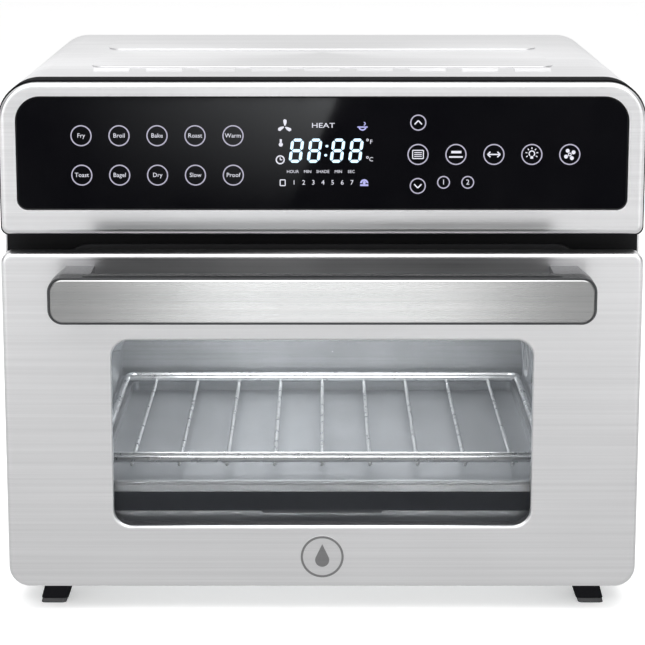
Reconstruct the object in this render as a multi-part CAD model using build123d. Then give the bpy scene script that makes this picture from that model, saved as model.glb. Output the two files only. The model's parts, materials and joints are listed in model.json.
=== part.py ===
from build123d import *
import os
from math import acos, cos, degrees, radians, sin, sqrt

# Toaster oven with a digital control head over a drop-down glass door. Millimetres.
# The origin is on the worktop, under the middle of the whole oven. The door faces -Y, +Z is up.

# ---- overall sizes
width = 410.0
body_depth = 330.0        # door face to the back edge of the wrapper
handle_reach = 40.0       # handle plate in front of the door face
spacer_length = 14.0      # rear spacers behind the rear cover
foot_height = 17.5
door_height = 222.5
head_gap = 11.0           # shadow gap between door and control head
head_height = 99.0

# ---- sheet and fits
sheet = 1.0               # outer steel
liner_sheet = 1.0         # cavity steel
seat = 0.4                # clearance round a piece let into an opening
running = 0.05            # radial clearance of a pin or a shaft
part_gap = 0.5            # plain gap between neighbours
screw_clear = 0.2         # radial clearance of a screw in its hole

# ---- places that follow
half = width / 2
front_y = -(handle_reach + body_depth + spacer_length) / 2 + handle_reach
back_y = front_y + body_depth
door_low = foot_height
door_high = door_low + door_height
head_low = door_high + head_gap
head_high = head_low + head_height
frame_set = 26.0          # chassis frame behind the door face
frame_y = front_y + frame_set
frame_back = frame_y + sheet

# ---- wrapper
shoulder_round = 25.0
louvre_count = 9
louvre_pitch = 34.4
louvre_length = 23.5
louvre_set = 58.0         # start of the louvres behind the door face
louvre_rise = 2.0
louvre_run = 7.0
louvre_wall = 0.7
crown_half_width = 154.0
crown_spans = ((82.0, 186.0), (206.0, 319.0))   # behind the door face
crown_round = 14.0
crown_rise = 0.8
side_vent_count = 10
side_vent_pitch = 9.0
side_vent_width = 3.2
side_vent_length = 34.0
side_vent_rise = 26.0     # above the wrapper's lower edge
side_vent_set = 40.0      # first slot to the back edge

# ---- rear cover
cover_flange = 12.0
cover_fit = 0.2
rear_vent_rows = 9
rear_vent_pitch = 8.0
rear_vent_width = 3.4
rear_vent_length = 62.0
rear_vent_x = 84.0
rear_vent_low = 22.0      # above the top of the door
gland_x = 148.0
gland_rise = 44.0
gland_bore = 4.0
gland_body = 7.0
gland_length = 16.0
spacer_x = 120.0
spacer_rise = 262.0
spacer_radius = 8.0

# ---- chassis
frame_lap = 8.0           # frame above the lower wall of the head's housing
bracket_screw_in = 6.0    # bracket screws in from the side
bracket_screw_rises = (-6.0, 14.0)              # from the pivot
base_flange = 12.0
base_vent_x = (-60.0, 0.0, 60.0)
base_vent_count = 8
base_vent_pitch = 9.0
base_vent_start = 40.0
base_vent_length = 30.0
base_vent_width = 3.2
rear_screw_in = 9.0       # cover screws in from the edge
rear_screw_low = 20.0     # lowest pair above the base plate
rear_screw_drop = 31.0    # highest pair below the top
rear_screw_share = 0.4    # screws along the top, as a share of the half width

# ---- control head
bezel_depth = 6.0
bezel_inset = 1.2         # bezel inside the outline of its dark housing
head_round_low = 5.0
edge_round = 3.5
glass_half_width = 193.0
glass_low_margin = 17.4   # glass above the head's lower edge
glass_high_margin = 10.0
glass_round_low = 6.5
glass_round_high = 15.5
glass_thick = 3.2
glass_set = 0.6           # glass face behind the bezel face
bezel_rim = 1.2           # turned-in edge round the glass
glass_seat_width = 3.0    # ledge that the glass rests on
surround_wall = 4.5
surround_corner = 3.0      # inside corners at the bottom
surround_round = 0.8
board_thick = 1.6
display_half_width = 30.0
display_x = 3.0
display_height = 45.0
display_depth = 7.0

# ---- electronics above the cavity
post_radius = 4.0
post_height = 8.0
board_x = (-158.0, 60.0)
board_half_depth = 80.0
board_screw_in = 8.0
capacitor_x = (-120.0, -90.0, -60.0, 40.0)
capacitor_y = (40.0, 70.0)
capacitor_width = 8.0
capacitor_height = 12.4
relay_x = (-136.0, -108.0, -80.0, -52.0, -24.0)
relay_y = (-62.0, -38.0)
relay_width = 18.0
relay_height = 16.0
transformer_x = (8.0, 48.0)
transformer_y = (-66.0, -30.0)
transformer_height = 30.0
coil_inset = 6.0
coil_margin = 4.0
terminal_x = (120.0, 168.0)
terminal_set = 42.0       # back of the terminal block to the back edge
terminal_depth = 20.0
terminal_height = 16.0
terminal_count = 5
terminal_pitch = 8.0
terminal_bore = 2.2

# ---- cavity
side_space = 47.0         # half the width outside the cavity
cavity_low = 50.0
cavity_high = 232.0
cavity_round = 8.0
cavity_back_space = 10.0  # liner to the back edge of the wrapper
insulation_thick = 6.0
seal_width = 7.0
seal_thick = 2.5
seal_margin = 3.0
seal_round = 1.2
insulation_front_set = 12.0
insulation_back_set = 6.0
insulation_round = 6.0
sensor_gap = 8.0          # door sensor's middle beside the seal
sensor_drop = 20.0        # its middle below the cavity roof
sensor_half_width = 6.0
sensor_half_height = 12.0
sensor_depth = 8.0

# ---- heating rods
rod_radius = 3.5
rod_spacing = 50.0
rod_pairs = (-63.0, 35.0)                       # middle of each pair, along Y
lower_rod_rise = 17.0     # above the cavity floor
upper_rod_drop = 14.0     # below the cavity roof
rod_end_gap = 16.0        # bend of a rod pair to the cavity wall
ceramic_radius = 6.0
ceramic_length = 14.0
rod_tail = 6.0            # rod past its ceramic end

# ---- rack, rails and tray
rack_rise = 37.0          # wire centres above the cavity floor
rack_set = 34.0           # front wire behind the chassis frame
rack_back_gap = 16.0
rack_side_gap = 6.5
wire_radius = 2.2
bar_wire_radius = 1.3
bar_wire_pitch = 32.2
twin_wire_gap = 10.6
rail_ledge = 8.0
rail_levels = (-5.3, 0.0, 41.0, 82.0)           # from the rack's present height; the lowest is the pan's
rail_thick = 1.2
rail_front_set = 16.0     # rail behind the chassis frame
rail_back_set = 10.0      # rail in front of the liner's back wall
rail_below = 14.0         # rail below the rack
rail_above = 8.0          # rail above the highest level
guard_margin = 3.0        # rail cut back round the fan guard
tray_height = 9.0
tray_set = 8.0            # tray front behind the chassis frame
tray_sheet = 0.8
tray_back_gap = 12.0
tray_round = 6.0
tray_lift = 0.2           # clear of the cavity floor
tray_grip_half_width = 40.0
tray_grip_reach = 5.0
pan_sheet = 0.8
pan_depth = 8.0
pan_set = 8.0             # pan front behind the chassis frame
pan_bead = 1.6            # radius of its rolled front edge

# ---- fan, lamp and sensors
fan_y = 28.0
fan_rise = 100.0          # above the cavity floor
blade_radius = 29.0
guard_radius = 38.0
guard_depth = 11.0
shaft_radius = 2.5
shaft_space = 2.0         # hole in the cavity wall round the shaft
motor_stack = 18.0
motor_width = 46.0
motor_height = 58.0
guard_round = 4.0
guard_slot_count = 12
guard_slot_length = 22.0
guard_slot_width = 4.0
guard_slot_middle = 19.0  # from the fan's axis
guard_rivet_radius = 3.0
hub_radius = 8.0
paddle_count = 8
paddle_twist = 25.0
paddle_thick = 0.9
paddle_inset = 6.0        # paddle tips and disc inside the blade circle
nut_radius = 4.2
nut_thick = 0.8
motor_gap = 9.0           # cavity wall to the iron stack
motor_cap_radius = 13.0
motor_cap_near = 4.0
motor_cap_far = 5.0
motor_above = 0.38        # share of the stack above the shaft
motor_coil_radius = 13.0
motor_coil_length = 26.0
motor_coil_drop = 0.44    # coil below the shaft, as a share of the stack
bracket_half_span = 40.0
bracket_half_height = 16.0
bracket_plate = 1.2
bracket_leg = 2.0
lamp_y = 96.0
lamp_rise = 146.0
lens_radius = 15.0
lens_rim = 3.0            # flat rim round the dome
lens_wall = 2.0
bulb_radius = 7.0
bulb_reach = 3.0          # bulb past the wall's outer face, into the dome
bulb_length = 13.0
bulb_cap_radius = 5.0
bulb_cap_length = 6.0
socket_radius = 10.0
socket_length = 11.5
socket_arm_reach = 20.0
socket_arm_half_height = 6.0
socket_arm_thick = 1.5
probe_y = 110.0
probe_rise = 160.0
probe_radius = 2.0
probe_length = 30.0
probe_tail = 12.0
probe_collar_radius = 6.0
probe_collar_thick = 2.0
cutout_y_set = -75.0      # from the fan's axis
cutout_rise = 40.0
cutout_radius = 8.0
cutout_thick = 6.0
cutout_tab_pitch = 4.0
cutout_tab_half_height = 3.0

# ---- door
skin_depth = 14.0
door_round_low = 13.5
door_round_high = 6.5
window_half_width = 135.5
window_low = 59.0
window_high = 183.0
window_round = 11.0
window_lip = 3.0          # depth of the lip round the window
lip_wall = 2.2
lip_round = 1.8
pane = 4.0
pane_lap = 8.0            # glass hidden behind the window edge
panel_lap = 5.6           # opening of the door's inner panel round the window
liner_gap = 3.0           # door inner panel to chassis frame
hinge_bay = 23.0          # side of the door kept for the hinge
panel_margin = 6.5

# ---- hinge
pivot_set = 12.0          # pivot behind the door face
pivot_rise = 12.5         # pivot above the door's lower edge
door_swing = 81.0         # the stay's stop meets the frame just past this angle
pin_radius = 3.0
pin_head = 4.6
pin_head_thick = 1.5
pin_set = 0.5             # head's underside clear of the leaf
leaf_thick = 2.0
ear_thick = 2.0
ear_radius = 6.0
bracket_foot = 1.0
bracket_below = 10.0      # foot of the bracket from the pivot
bracket_above = 20.0
leaf_tab_rises = (30.0, 60.0)
leaf_tab_half_width = 4.0
leaf_tab_half_height = 5.0
stay_radius = 80.0
stay_width = 8.0
stay_stop = 1.6
stay_tail = 2.4           # stay past its stop, in degrees
hinge_space = 1.5         # leaf to the door's bay, and to the bracket
spring_wire = 0.8
spring_turns = 3
spring_fit = 0.3          # coil clear of its pin
spring_long_leg = 26.0
spring_short_leg = 9.0

# ---- handle
bar_half_length = 171.0
bar_height = 30.0
bar_drop = 8.0            # bar's top edge below the door's top edge
bar_thick = 13.0
bar_round = 9.5
bar_ease = 0.7
screw_depth = 8.0
plate_side = 1.9          # rim of the bar beside the plate
plate_edge = 1.5          # rim above and below the plate
plate_thick = 2.0
plate_proud = 1.0
post_inner = 145.0
post_root = 163.0
post_tip = 169.5
handle_screw_in = 8.0     # from the bar's edges

# ---- badge
badge_rise = 21.2
badge_radius = 14.0
badge_thick = 1.2
badge_field = 0.5         # disc inside the raised ring
badge_ring = 1.4
flame_radius = 4.6
flame_drop = 2.2
flame_tip = 8.6

# ---- feet
foot_width = 18.0
foot_length = 26.0
foot_x = 31.0             # foot middle in from the side
foot_lean_out = 4.7
foot_lean_along = 6.5
pad_height = 3.0
foot_round = 3.0
foot_front_lap = 0.5      # front feet past the chassis frame
foot_back_set = 14.0
pad_inset = 0.6
screw_radius = 1.7
screw_head = 3.4
screw_head_rise = 1.8

# ---- more places that follow
skin_back = front_y + skin_depth
panel_back = frame_y - liner_gap
bay_x = half - hinge_bay
pivot_y = front_y + pivot_set
pivot_z = door_low + pivot_rise
cavity_half = half - side_space
liner_back = back_y - cavity_back_space
shield_z = cavity_high + liner_sheet + insulation_thick + part_gap
glass_low = head_low + glass_low_margin
glass_high = head_high - glass_high_margin
glass_front = front_y + glass_set
glass_back = glass_front + glass_thick
rack_z = cavity_low + rack_rise
rack_half = cavity_half - rack_side_gap
fan_z = cavity_low + fan_rise
bar_high = door_high - bar_drop
bar_low = bar_high - bar_height
bar_front = front_y - handle_reach + plate_proud
plate_round = bar_round - plate_side
bar_back = bar_front + bar_thick
deck_z = door_low + sheet                       # top of the base plate


def block(x0, x1, y0, y1, z0, z1):
    """Box between two corners."""
    middle = Pos((x0 + x1) / 2, (y0 + y1) / 2, (z0 + z1) / 2)
    return middle * Box(x1 - x0, y1 - y0, z1 - z0)


def round_x(radius, x0, x1, y, z):
    """Round bar along X."""
    return Pos((x0 + x1) / 2, y, z) * Rot(0, 90, 0) * Cylinder(radius, x1 - x0)


def round_y(radius, y0, y1, x, z):
    """Round bar along Y."""
    return Pos(x, (y0 + y1) / 2, z) * Rot(90, 0, 0) * Cylinder(radius, y1 - y0)


def round_z(radius, z0, z1, x, y):
    """Round bar along Z."""
    return Pos(x, y, (z0 + z1) / 2) * Cylinder(radius, z1 - z0)


def upright(x_half, low, high, round_low, round_high, front, back):
    """Upright slab with its own corner radii below and above, between two planes along Y."""
    face = Rectangle(2 * x_half, high - low)
    if round_low > 0:
        face = fillet(face.vertices().sort_by(Axis.Y)[:2], round_low)
    if round_high > 0:
        face = fillet(face.vertices().sort_by(Axis.Y)[-2:], round_high)
    return Pos(0, back, (low + high) / 2) * extrude(Plane.XZ * face, back - front)


def ease_front(solid, radius):
    """Rounds the edges of the face nearest the user."""
    return fillet(solid.faces().sort_by(Axis.Y)[0].edges(), radius)


def pan(x_half, low, high, round_low, round_high, front, back, wall, ease):
    """Formed sheet pan, open at the back, with its front edges rounded over."""
    outer = ease_front(upright(x_half, low, high, round_low, round_high, front, back), ease)
    inner = upright(x_half - wall, low + wall, high - wall, max(round_low - wall, 0.5),
                    max(round_high - wall, 0.5), front + wall, back + wall)
    return outer - ease_front(inner, max(ease - wall, 0.3))


def both_sides(piece):
    """A piece and its mirror image on the other side of the oven."""
    return Compound(children=[piece, mirror(piece, about=Plane.YZ)])


def screw(x, y, z, turn, length):
    """Round-headed screw with a cross recess. Its head points along +Z before the turn is made."""
    head = Pos(0, 0, screw_head_rise / 2) * Cylinder(screw_head, screw_head_rise)
    head = fillet(head.faces().sort_by(Axis.Z)[-1].edges(), screw_head_rise * 0.6)
    for angle in (0, 90):
        head -= Pos(0, 0, screw_head_rise) * Rot(0, 0, angle) * Box(3.4, 0.8, 1.6)
    shank = Pos(0, 0, -length / 2) * Cylinder(screw_radius, length)
    return Pos(x, y, z) * turn * (head + shank)


def screw_hole(x, y, z, turn, length):
    """Clearance hole for a screw at the same place."""
    return Pos(x, y, z) * turn * Cylinder(screw_radius + screw_clear, 2 * length)


# ------------------------------------------------------------------ wrapper

def louvre(x):
    """Raised hood with its mouth to the back, and the hollow under it."""
    wall = louvre_wall
    start = front_y + louvre_set
    crest = start + louvre_run * 0.6
    mouth = start + louvre_run
    hood_face = make_face(Polyline((mouth, head_high), (mouth, head_high + louvre_rise),
                                   (crest, head_high + louvre_rise * 0.9), (start, head_high), close=True))
    hood = Pos(x, 0, 0) * extrude(Plane.YZ * hood_face, louvre_length / 2, both=True)
    low = head_high - sheet - wall
    roof = head_high + louvre_rise - wall
    hollow_face = make_face(Polyline((mouth + 1, low), (mouth + 1, roof), (crest, roof - wall / 4),
                                     (start + 2 * wall, head_high - wall), (start + 2 * wall, low), close=True))
    hollow = extrude(Plane.YZ * hollow_face, louvre_length / 2 - wall, both=True)
    return hood, Pos(x, 0, 0) * hollow


def crown(start, end, inset, low, rise):
    """Shallow raised field on the top, or the hollow under it."""
    size = RectangleRounded(2 * (crown_half_width - inset), end - start - 2 * inset, crown_round - inset)
    return Pos(0, front_y + (start + end) / 2, low) * extrude(size, rise)


def make_wrapper():
    shell = upright(half, door_low, head_high, 0, shoulder_round, frame_y, back_y)
    shell -= upright(half - sheet, door_low - sheet, head_high - sheet, 0, shoulder_round - sheet,
                     frame_y - sheet, back_y + sheet)
    for start, end in crown_spans:
        field = crown(start, end, 0, head_high - sheet / 2, sheet / 2 + crown_rise)
        shell += fillet(field.faces().sort_by(Axis.Z)[-1].edges(), crown_rise * 0.6)
        shell -= crown(start, end, sheet, head_high - 2 * sheet, sheet + crown_rise)
    for i in range(louvre_count):
        hood, hollow = louvre((i - (louvre_count - 1) / 2) * louvre_pitch)
        shell = shell + hood - hollow
    slot = Plane.YZ * SlotOverall(side_vent_length, side_vent_width, rotation=90)
    for i in range(side_vent_count):
        y = back_y - side_vent_set - i * side_vent_pitch
        z = door_low + side_vent_rise + side_vent_length / 2
        shell -= Pos(0, y, z) * extrude(slot, half + sheet, both=True)
    return shell


# ------------------------------------------------------------------ chassis

def cavity_opening(grow, front, back):
    """The cavity's cross-section, made larger by a margin."""
    return upright(cavity_half + grow, cavity_low - grow, cavity_high + grow,
                   cavity_round + grow, cavity_round + grow, front, back)


def bracket_holes():
    """Where the two hinge brackets are screwed to the frame."""
    x = half - bracket_screw_in
    return [(side * x, pivot_z + rise) for side in (-1, 1) for rise in bracket_screw_rises]


def make_front_frame():
    top = head_low + surround_wall + frame_lap
    frame = upright(half - sheet - cover_fit, deck_z + cover_fit, top, 0, 0, frame_y, frame_back)
    frame -= cavity_opening(0, frame_y - sheet, frame_back + sheet)
    reach = stay_radius + stay_width / 2 + 1
    near = stay_radius - stay_width / 2 - 1
    slot_low = pivot_z + sqrt(near ** 2 - (frame_back - pivot_y) ** 2) - 1
    slot_high = pivot_z + sqrt(reach ** 2 - (frame_y - pivot_y) ** 2) + 1
    x = bay_x + part_gap + hinge_space + leaf_thick / 2
    for side in (-1, 1):
        frame -= block(side * x - leaf_thick / 2 - 1, side * x + leaf_thick / 2 + 1,
                       frame_y - sheet, frame_back + sheet, slot_low, slot_high)
    for x, z in bracket_holes():
        frame -= screw_hole(x, frame_y, z, Rot(90, 0, 0), 3)
    return frame


def foot_places():
    """Middle of each foot's top, with the way it leans."""
    x = half - foot_x
    front = frame_y + foot_length / 2 - foot_front_lap
    back = back_y - foot_length / 2 - foot_back_set
    return [(side * x, y, side, along) for y, along in ((front, -1), (back, 1)) for side in (-1, 1)]


def make_base_plate():
    low = door_low
    plate = block(-half + sheet, half - sheet, frame_y, back_y - sheet - cover_fit, low, deck_z)
    flange = block(half - 2 * sheet - cover_fit, half - sheet - cover_fit, frame_back + part_gap,
                   back_y - cover_flange - 3 * sheet, deck_z, deck_z + base_flange)
    plate = plate + flange + mirror(flange, about=Plane.YZ)
    slot = SlotOverall(base_vent_length, base_vent_width)
    for x in base_vent_x:
        for i in range(base_vent_count):
            y = base_vent_start + i * base_vent_pitch
            plate -= Pos(x, y, low - sheet) * extrude(slot, 3 * sheet)
    for x, y, side, along in foot_places():
        plate -= screw_hole(x, y, deck_z, Rot(0, 0, 0), 3)
    return plate


def rear_screw_places():
    """Screws round the edge of the rear cover."""
    x = half - rear_screw_in
    low, high = deck_z + rear_screw_low, head_high - rear_screw_drop
    return ([(side * x, z) for side in (-1, 1) for z in (low, (low + high) / 2, high)]
            + [(side * half * rear_screw_share, head_high - rear_screw_in) for side in (-1, 1)])


def make_rear_cover():
    x_half = half - sheet - cover_fit
    low, high = deck_z + cover_fit, head_high - sheet - cover_fit
    corner = shoulder_round - sheet - cover_fit
    cover = upright(x_half, low, high, 0.5, corner, back_y - cover_flange, back_y)
    cover -= upright(x_half - sheet, low + sheet, high - sheet, 0.5, corner - sheet,
                     back_y - cover_flange - sheet, back_y - sheet)
    slot = Plane.XZ * SlotOverall(rear_vent_length, rear_vent_width)
    for side in (-1, 0, 1):
        for i in range(rear_vent_rows):
            z = door_high + rear_vent_low + i * rear_vent_pitch
            cover -= Pos(side * rear_vent_x, back_y, z) * extrude(slot, 2 * sheet, both=True)
    cover -= round_y(gland_body + screw_clear, back_y - 3, back_y + 3, gland_x, door_low + gland_rise)
    for x, z in rear_screw_places():
        cover -= screw_hole(x, back_y, z, Rot(-90, 0, 0), 3)
    for side in (-1, 1):
        cover -= round_y(screw_radius + screw_clear, back_y - 3, back_y + 3,
                         side * spacer_x, door_low + spacer_rise)
    return cover


def make_case_screws():
    """Screws of the rear cover and of the feet."""
    screws = [screw(x, back_y, z, Rot(-90, 0, 0), screw_depth) for x, z in rear_screw_places()]
    screws += [screw(x, y, deck_z, Rot(0, 0, 0), screw_depth) for x, y, side, along in foot_places()]
    return Compound(children=screws)


def make_rear_spacers():
    post = round_y(spacer_radius, back_y, back_y + spacer_length, spacer_x, door_low + spacer_rise)
    post = fillet(post.faces().sort_by(Axis.Y)[-1].edges(), 2.5)
    post += round_y(screw_radius, back_y - 5, back_y, spacer_x, door_low + spacer_rise)
    post += round_y(screw_head, back_y - sheet - 3, back_y - sheet, spacer_x, door_low + spacer_rise)
    return both_sides(post)


def make_cord_gland():
    z = door_low + gland_rise
    inner = back_y - gland_length / 2
    gland = round_y(gland_body, inner, back_y, gland_x, z)
    collar = round_y(gland_body + 3, back_y, back_y + gland_length / 2, gland_x, z)
    gland += fillet(collar.faces().sort_by(Axis.Y)[-1].edges(), 2.0)
    gland += round_y(gland_body + 2, back_y - sheet - 2, back_y - sheet, gland_x, z)
    return gland - round_y(gland_bore, inner - 1, back_y + gland_length, gland_x, z)


# ------------------------------------------------------------------ feet

def leaning_block(x, y, side, along, z_top, z_bottom, shrink):
    """Part of a foot between two heights, leaning out and along as it goes down."""
    def level(z):
        fall = (door_low - z) / foot_height
        return Pos(x + side * foot_lean_out * fall, y + along * foot_lean_along * fall, z)
    face = RectangleRounded(foot_width - 2 * shrink, foot_length - 2 * shrink, foot_round)
    return loft([level(z_bottom) * face, level(z_top) * face])


def make_foot(x, y, side, along):
    foot = leaning_block(x, y, side, along, door_low, pad_height, 0)
    return foot - round_z(screw_radius + screw_clear, door_low - screw_depth, door_low + 1, x, y)


def make_foot_pads():
    pads = [leaning_block(x, y, side, along, pad_height, 0, pad_inset) for x, y, side, along in foot_places()]
    return Compound(children=pads)


# ------------------------------------------------------------------ control head

def glass_shape(grow, front, back):
    """Outline of the control glass, made larger by a margin."""
    return upright(glass_half_width + grow, glass_low - grow, glass_high + grow,
                   glass_round_low + grow, glass_round_high + grow, front, back)


def make_head_bezel():
    bezel = pan(half - bezel_inset, head_low + bezel_inset, head_high - bezel_inset, head_round_low,
                shoulder_round - bezel_inset, front_y, front_y + bezel_depth, sheet, edge_round)
    rim = glass_shape(seat + bezel_rim, front_y + sheet / 2, glass_back)
    return bezel + rim - glass_shape(seat, front_y - 1, glass_back + 1)


def make_control_glass():
    return fillet(glass_shape(0, glass_front, glass_back).faces().sort_by(Axis.Y)[0].edges(), 0.6)


def make_head_surround():
    """Dark plastic housing behind the bezel. Its edge is the band round the bezel."""
    front = front_y + bezel_depth
    housing = upright(half, head_low, head_high, head_round_low, shoulder_round, front, frame_y)
    housing = ease_front(housing, surround_round)
    wall = surround_wall
    housing -= upright(half - wall, head_low + wall, head_high - wall, surround_corner,
                       shoulder_round - wall, front - 1, frame_y + 1)
    inset = bezel_inset + sheet + seat
    ledge = upright(half - inset, head_low + inset, head_high - inset, head_round_low - sheet,
                    shoulder_round - inset, glass_back + part_gap, front)
    ledge -= glass_shape(-glass_seat_width, glass_back, front + 1)
    return housing + ledge


def display_hole(grow, front, back):
    middle = (glass_low + glass_high) / 2
    return block(display_x - display_half_width - grow, display_x + display_half_width + grow, front, back,
                 middle - display_height / 2 - grow, middle + display_height / 2 + grow)


def make_touch_board():
    front = glass_back + part_gap
    board = glass_shape(-2 * glass_seat_width, front, front + board_thick)
    return board - display_hole(part_gap, front - 1, front + board_thick + 1)


def make_display_module():
    front = glass_back + part_gap
    return display_hole(0, front, front + display_depth)


def board_corners():
    """Posts under the corners of the power board."""
    y = board_half_depth - board_screw_in
    return [(x, side * y) for x in (board_x[0] + board_screw_in, board_x[1] - board_screw_in)
            for side in (-1, 1)]


def board_low():
    """Underside of the power board."""
    return shield_z + sheet + post_height


def make_heat_shield():
    shield = block(-half + 2 * sheet, half - 2 * sheet, frame_back + part_gap,
                   back_y - cover_flange - part_gap, shield_z, shield_z + sheet)
    for x, y in board_corners():
        shield += round_z(post_radius, shield_z + sheet, board_low(), x, y)
    return shield


def make_power_board():
    low, high = board_low(), board_low() + board_thick
    board = block(*board_x, -board_half_depth, board_half_depth, low, high)
    reach = capacitor_width / 2
    for x in capacitor_x:
        board += block(x - reach, x + reach, *capacitor_y, high, high + capacitor_height)
    return board


def make_relays():
    low = board_low() + board_thick
    reach = relay_width / 2
    return Compound(children=[block(x - reach, x + reach, *relay_y, low, low + relay_height)
                              for x in relay_x])


def make_transformer():
    low = board_low() + board_thick
    (x0, x1), (y0, y1) = transformer_x, transformer_y
    core = block(x0, x1, y0, y1, low, low + transformer_height)
    coil = block(x0 + coil_inset, x1 - coil_inset, y0 - coil_inset, y1 + coil_inset,
                 low + coil_margin, low + transformer_height - coil_margin)
    return core + fillet(coil.edges().filter_by(Axis.Z), coil_inset / 2)


def make_terminal_block():
    back = back_y - terminal_set
    high = deck_z + terminal_height
    body = block(*terminal_x, back - terminal_depth, back, deck_z, high)
    middle = sum(terminal_x) / 2
    for i in range(terminal_count):
        x = middle + (i - (terminal_count - 1) / 2) * terminal_pitch
        body -= round_z(terminal_bore, deck_z + terminal_height / 2, high + 1, x, back - terminal_depth / 2)
    return body


# ------------------------------------------------------------------ cavity

def wall_holes(grow):
    """Openings through the cavity walls for rods, fan shaft, lamp and probe."""
    cuts = []
    for middle in rod_pairs:
        for z in (cavity_low + lower_rod_rise, cavity_high - upper_rod_drop):
            for y in (middle - rod_spacing / 2, middle + rod_spacing / 2):
                cuts.append(round_x(rod_radius + grow, cavity_half - 5, cavity_half + 5, y, z))
    near, far = cavity_half - 5, cavity_half + 5
    cuts.append(round_x(shaft_radius + shaft_space, near, far, fan_y, fan_z))
    cuts.append(round_x(probe_radius + grow, near, far, probe_y, cavity_low + probe_rise))
    cuts.append(round_x(lens_radius - lens_rim, -far, -near, lamp_y, cavity_low + lamp_rise))
    return cuts


def make_cavity_liner():
    liner = cavity_opening(liner_sheet, frame_back, liner_back + liner_sheet)
    liner -= cavity_opening(0, frame_back - 1, liner_back)
    for cut in wall_holes(screw_clear):
        liner -= cut
    return liner


def make_insulation():
    x = cavity_half - cavity_round
    low = cavity_high + liner_sheet
    blanket = block(-x, x, frame_back + insulation_front_set, liner_back - insulation_back_set,
                    low, low + insulation_thick)
    return fillet(blanket.edges().filter_by(Axis.Z), insulation_round)


def make_door_seal():
    inner, outer = seal_margin, seal_margin + seal_width
    seal = cavity_opening(outer, frame_y - seal_thick, frame_y)
    seal = fillet(seal.faces().sort_by(Axis.Y)[0].edges(), seal_round)
    return seal - cavity_opening(inner, frame_y - seal_thick - 1, frame_y + 1)


def rod_pair(middle, z):
    """Heating rod bent into a U, with both ends through the right-hand wall."""
    bend = rod_spacing / 2
    bend_x = -cavity_half + rod_end_gap + bend
    end_x = cavity_half + ceramic_length + rod_tail
    path = (Line((end_x, middle - bend, z), (bend_x, middle - bend, z))
            + ThreePointArc((bend_x, middle - bend, z), (bend_x - bend, middle, z), (bend_x, middle + bend, z))
            + Line((bend_x, middle + bend, z), (end_x, middle + bend, z)))
    section = Plane(origin=(end_x, middle - bend, z), z_dir=(-1, 0, 0)) * Circle(rod_radius)
    return sweep(section, path)


def make_heating_elements():
    """Two rods near the roof and two near the floor."""
    heights = (cavity_high - upper_rod_drop, cavity_low + lower_rod_rise)
    return Compound(children=[rod_pair(middle, z) for z in heights for middle in rod_pairs])


def make_element_ceramics():
    ends = []
    start = cavity_half + liner_sheet
    for middle in rod_pairs:
        for z in (cavity_low + lower_rod_rise, cavity_high - upper_rod_drop):
            for y in (middle - rod_spacing / 2, middle + rod_spacing / 2):
                end = round_x(ceramic_radius, start, start + ceramic_length, y, z)
                ends.append(end - round_x(rod_radius + running, start - 1, start + ceramic_length + 1, y, z))
    return Compound(children=ends)


def make_rack_rail():
    """Right-hand rail: an upright sheet with a ledge for each rack height."""
    wall = cavity_half
    start, end = frame_back + rail_front_set, liner_back - rail_back_set
    low, high = rack_z - rail_below, rack_z + rail_levels[-1] + rail_above
    near, far = fan_y - guard_radius - guard_margin, fan_y + guard_radius + guard_margin
    rail = block(wall - rail_thick, wall, start, end, low, high)
    rail -= block(wall - 2 * rail_thick, wall + 1, near, far, rack_z + 2 * guard_margin, high + 1)
    for level in rail_levels:
        top = rack_z - wire_radius + level
        ledge = block(wall - rail_ledge, wall - rail_thick, start, end, top - rail_thick, top)
        if level > 0:
            ledge -= block(wall - rail_ledge - 1, wall, near, far, top - 2 * rail_thick, top + 1)
        rail += ledge
    return rail


# ------------------------------------------------------------------ fan, lamp, sensors

def make_fan_guard():
    wall = cavity_half
    cup = round_x(guard_radius, wall - guard_depth, wall, fan_y, fan_z)
    cup = fillet(cup.faces().sort_by(Axis.X)[0].edges(), guard_round)
    hollow = round_x(guard_radius - 1, wall - guard_depth + 1, wall + 1, fan_y, fan_z)
    cup -= fillet(hollow.faces().sort_by(Axis.X)[0].edges(), guard_round - 1)
    slot = Plane.YZ * SlotOverall(guard_slot_length, guard_slot_width)
    for i in range(guard_slot_count):
        turn = Rot(360 * i / guard_slot_count, 0, 0)
        cup -= (Pos(wall - guard_depth, fan_y, fan_z) * turn * Pos(0, guard_slot_middle, 0)
                * extrude(slot, 3, both=True))
    for angle in (45, 135, 225, 315):
        y = fan_y + (guard_radius - 1) * cos(radians(angle))
        z = fan_z + (guard_radius - 1) * sin(radians(angle))
        cup += round_x(guard_rivet_radius, wall - 1, wall, y, z)
    return cup


def make_fan_blade():
    """Hub, disc and twisted paddles inside the guard."""
    x0, x1 = cavity_half - guard_depth + 2.5, cavity_half - 2
    span = blade_radius - paddle_inset
    blade = round_x(hub_radius, x0, x1, fan_y, fan_z) + round_x(span, x1 - 1, x1, fan_y, fan_z)
    paddle = Box(x1 - x0 - 2, span, paddle_thick)
    paddle = Pos(0, paddle_inset + span / 2, 0) * Rot(0, paddle_twist, 0) * paddle
    for i in range(paddle_count):
        blade += Pos((x0 + x1) / 2, fan_y, fan_z) * Rot(360 * i / paddle_count, 0, 0) * paddle
    return blade - round_x(shaft_radius, x0 - 1, x1 + 1, fan_y, fan_z)


def motor_x():
    """Near and far faces of the motor's iron stack."""
    near = cavity_half + motor_gap
    return near, near + motor_stack


def make_fan_shaft():
    near, far = motor_x()
    tip = cavity_half - guard_depth + 1.6
    return round_x(shaft_radius, tip, far + 7, fan_y, fan_z)


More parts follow.
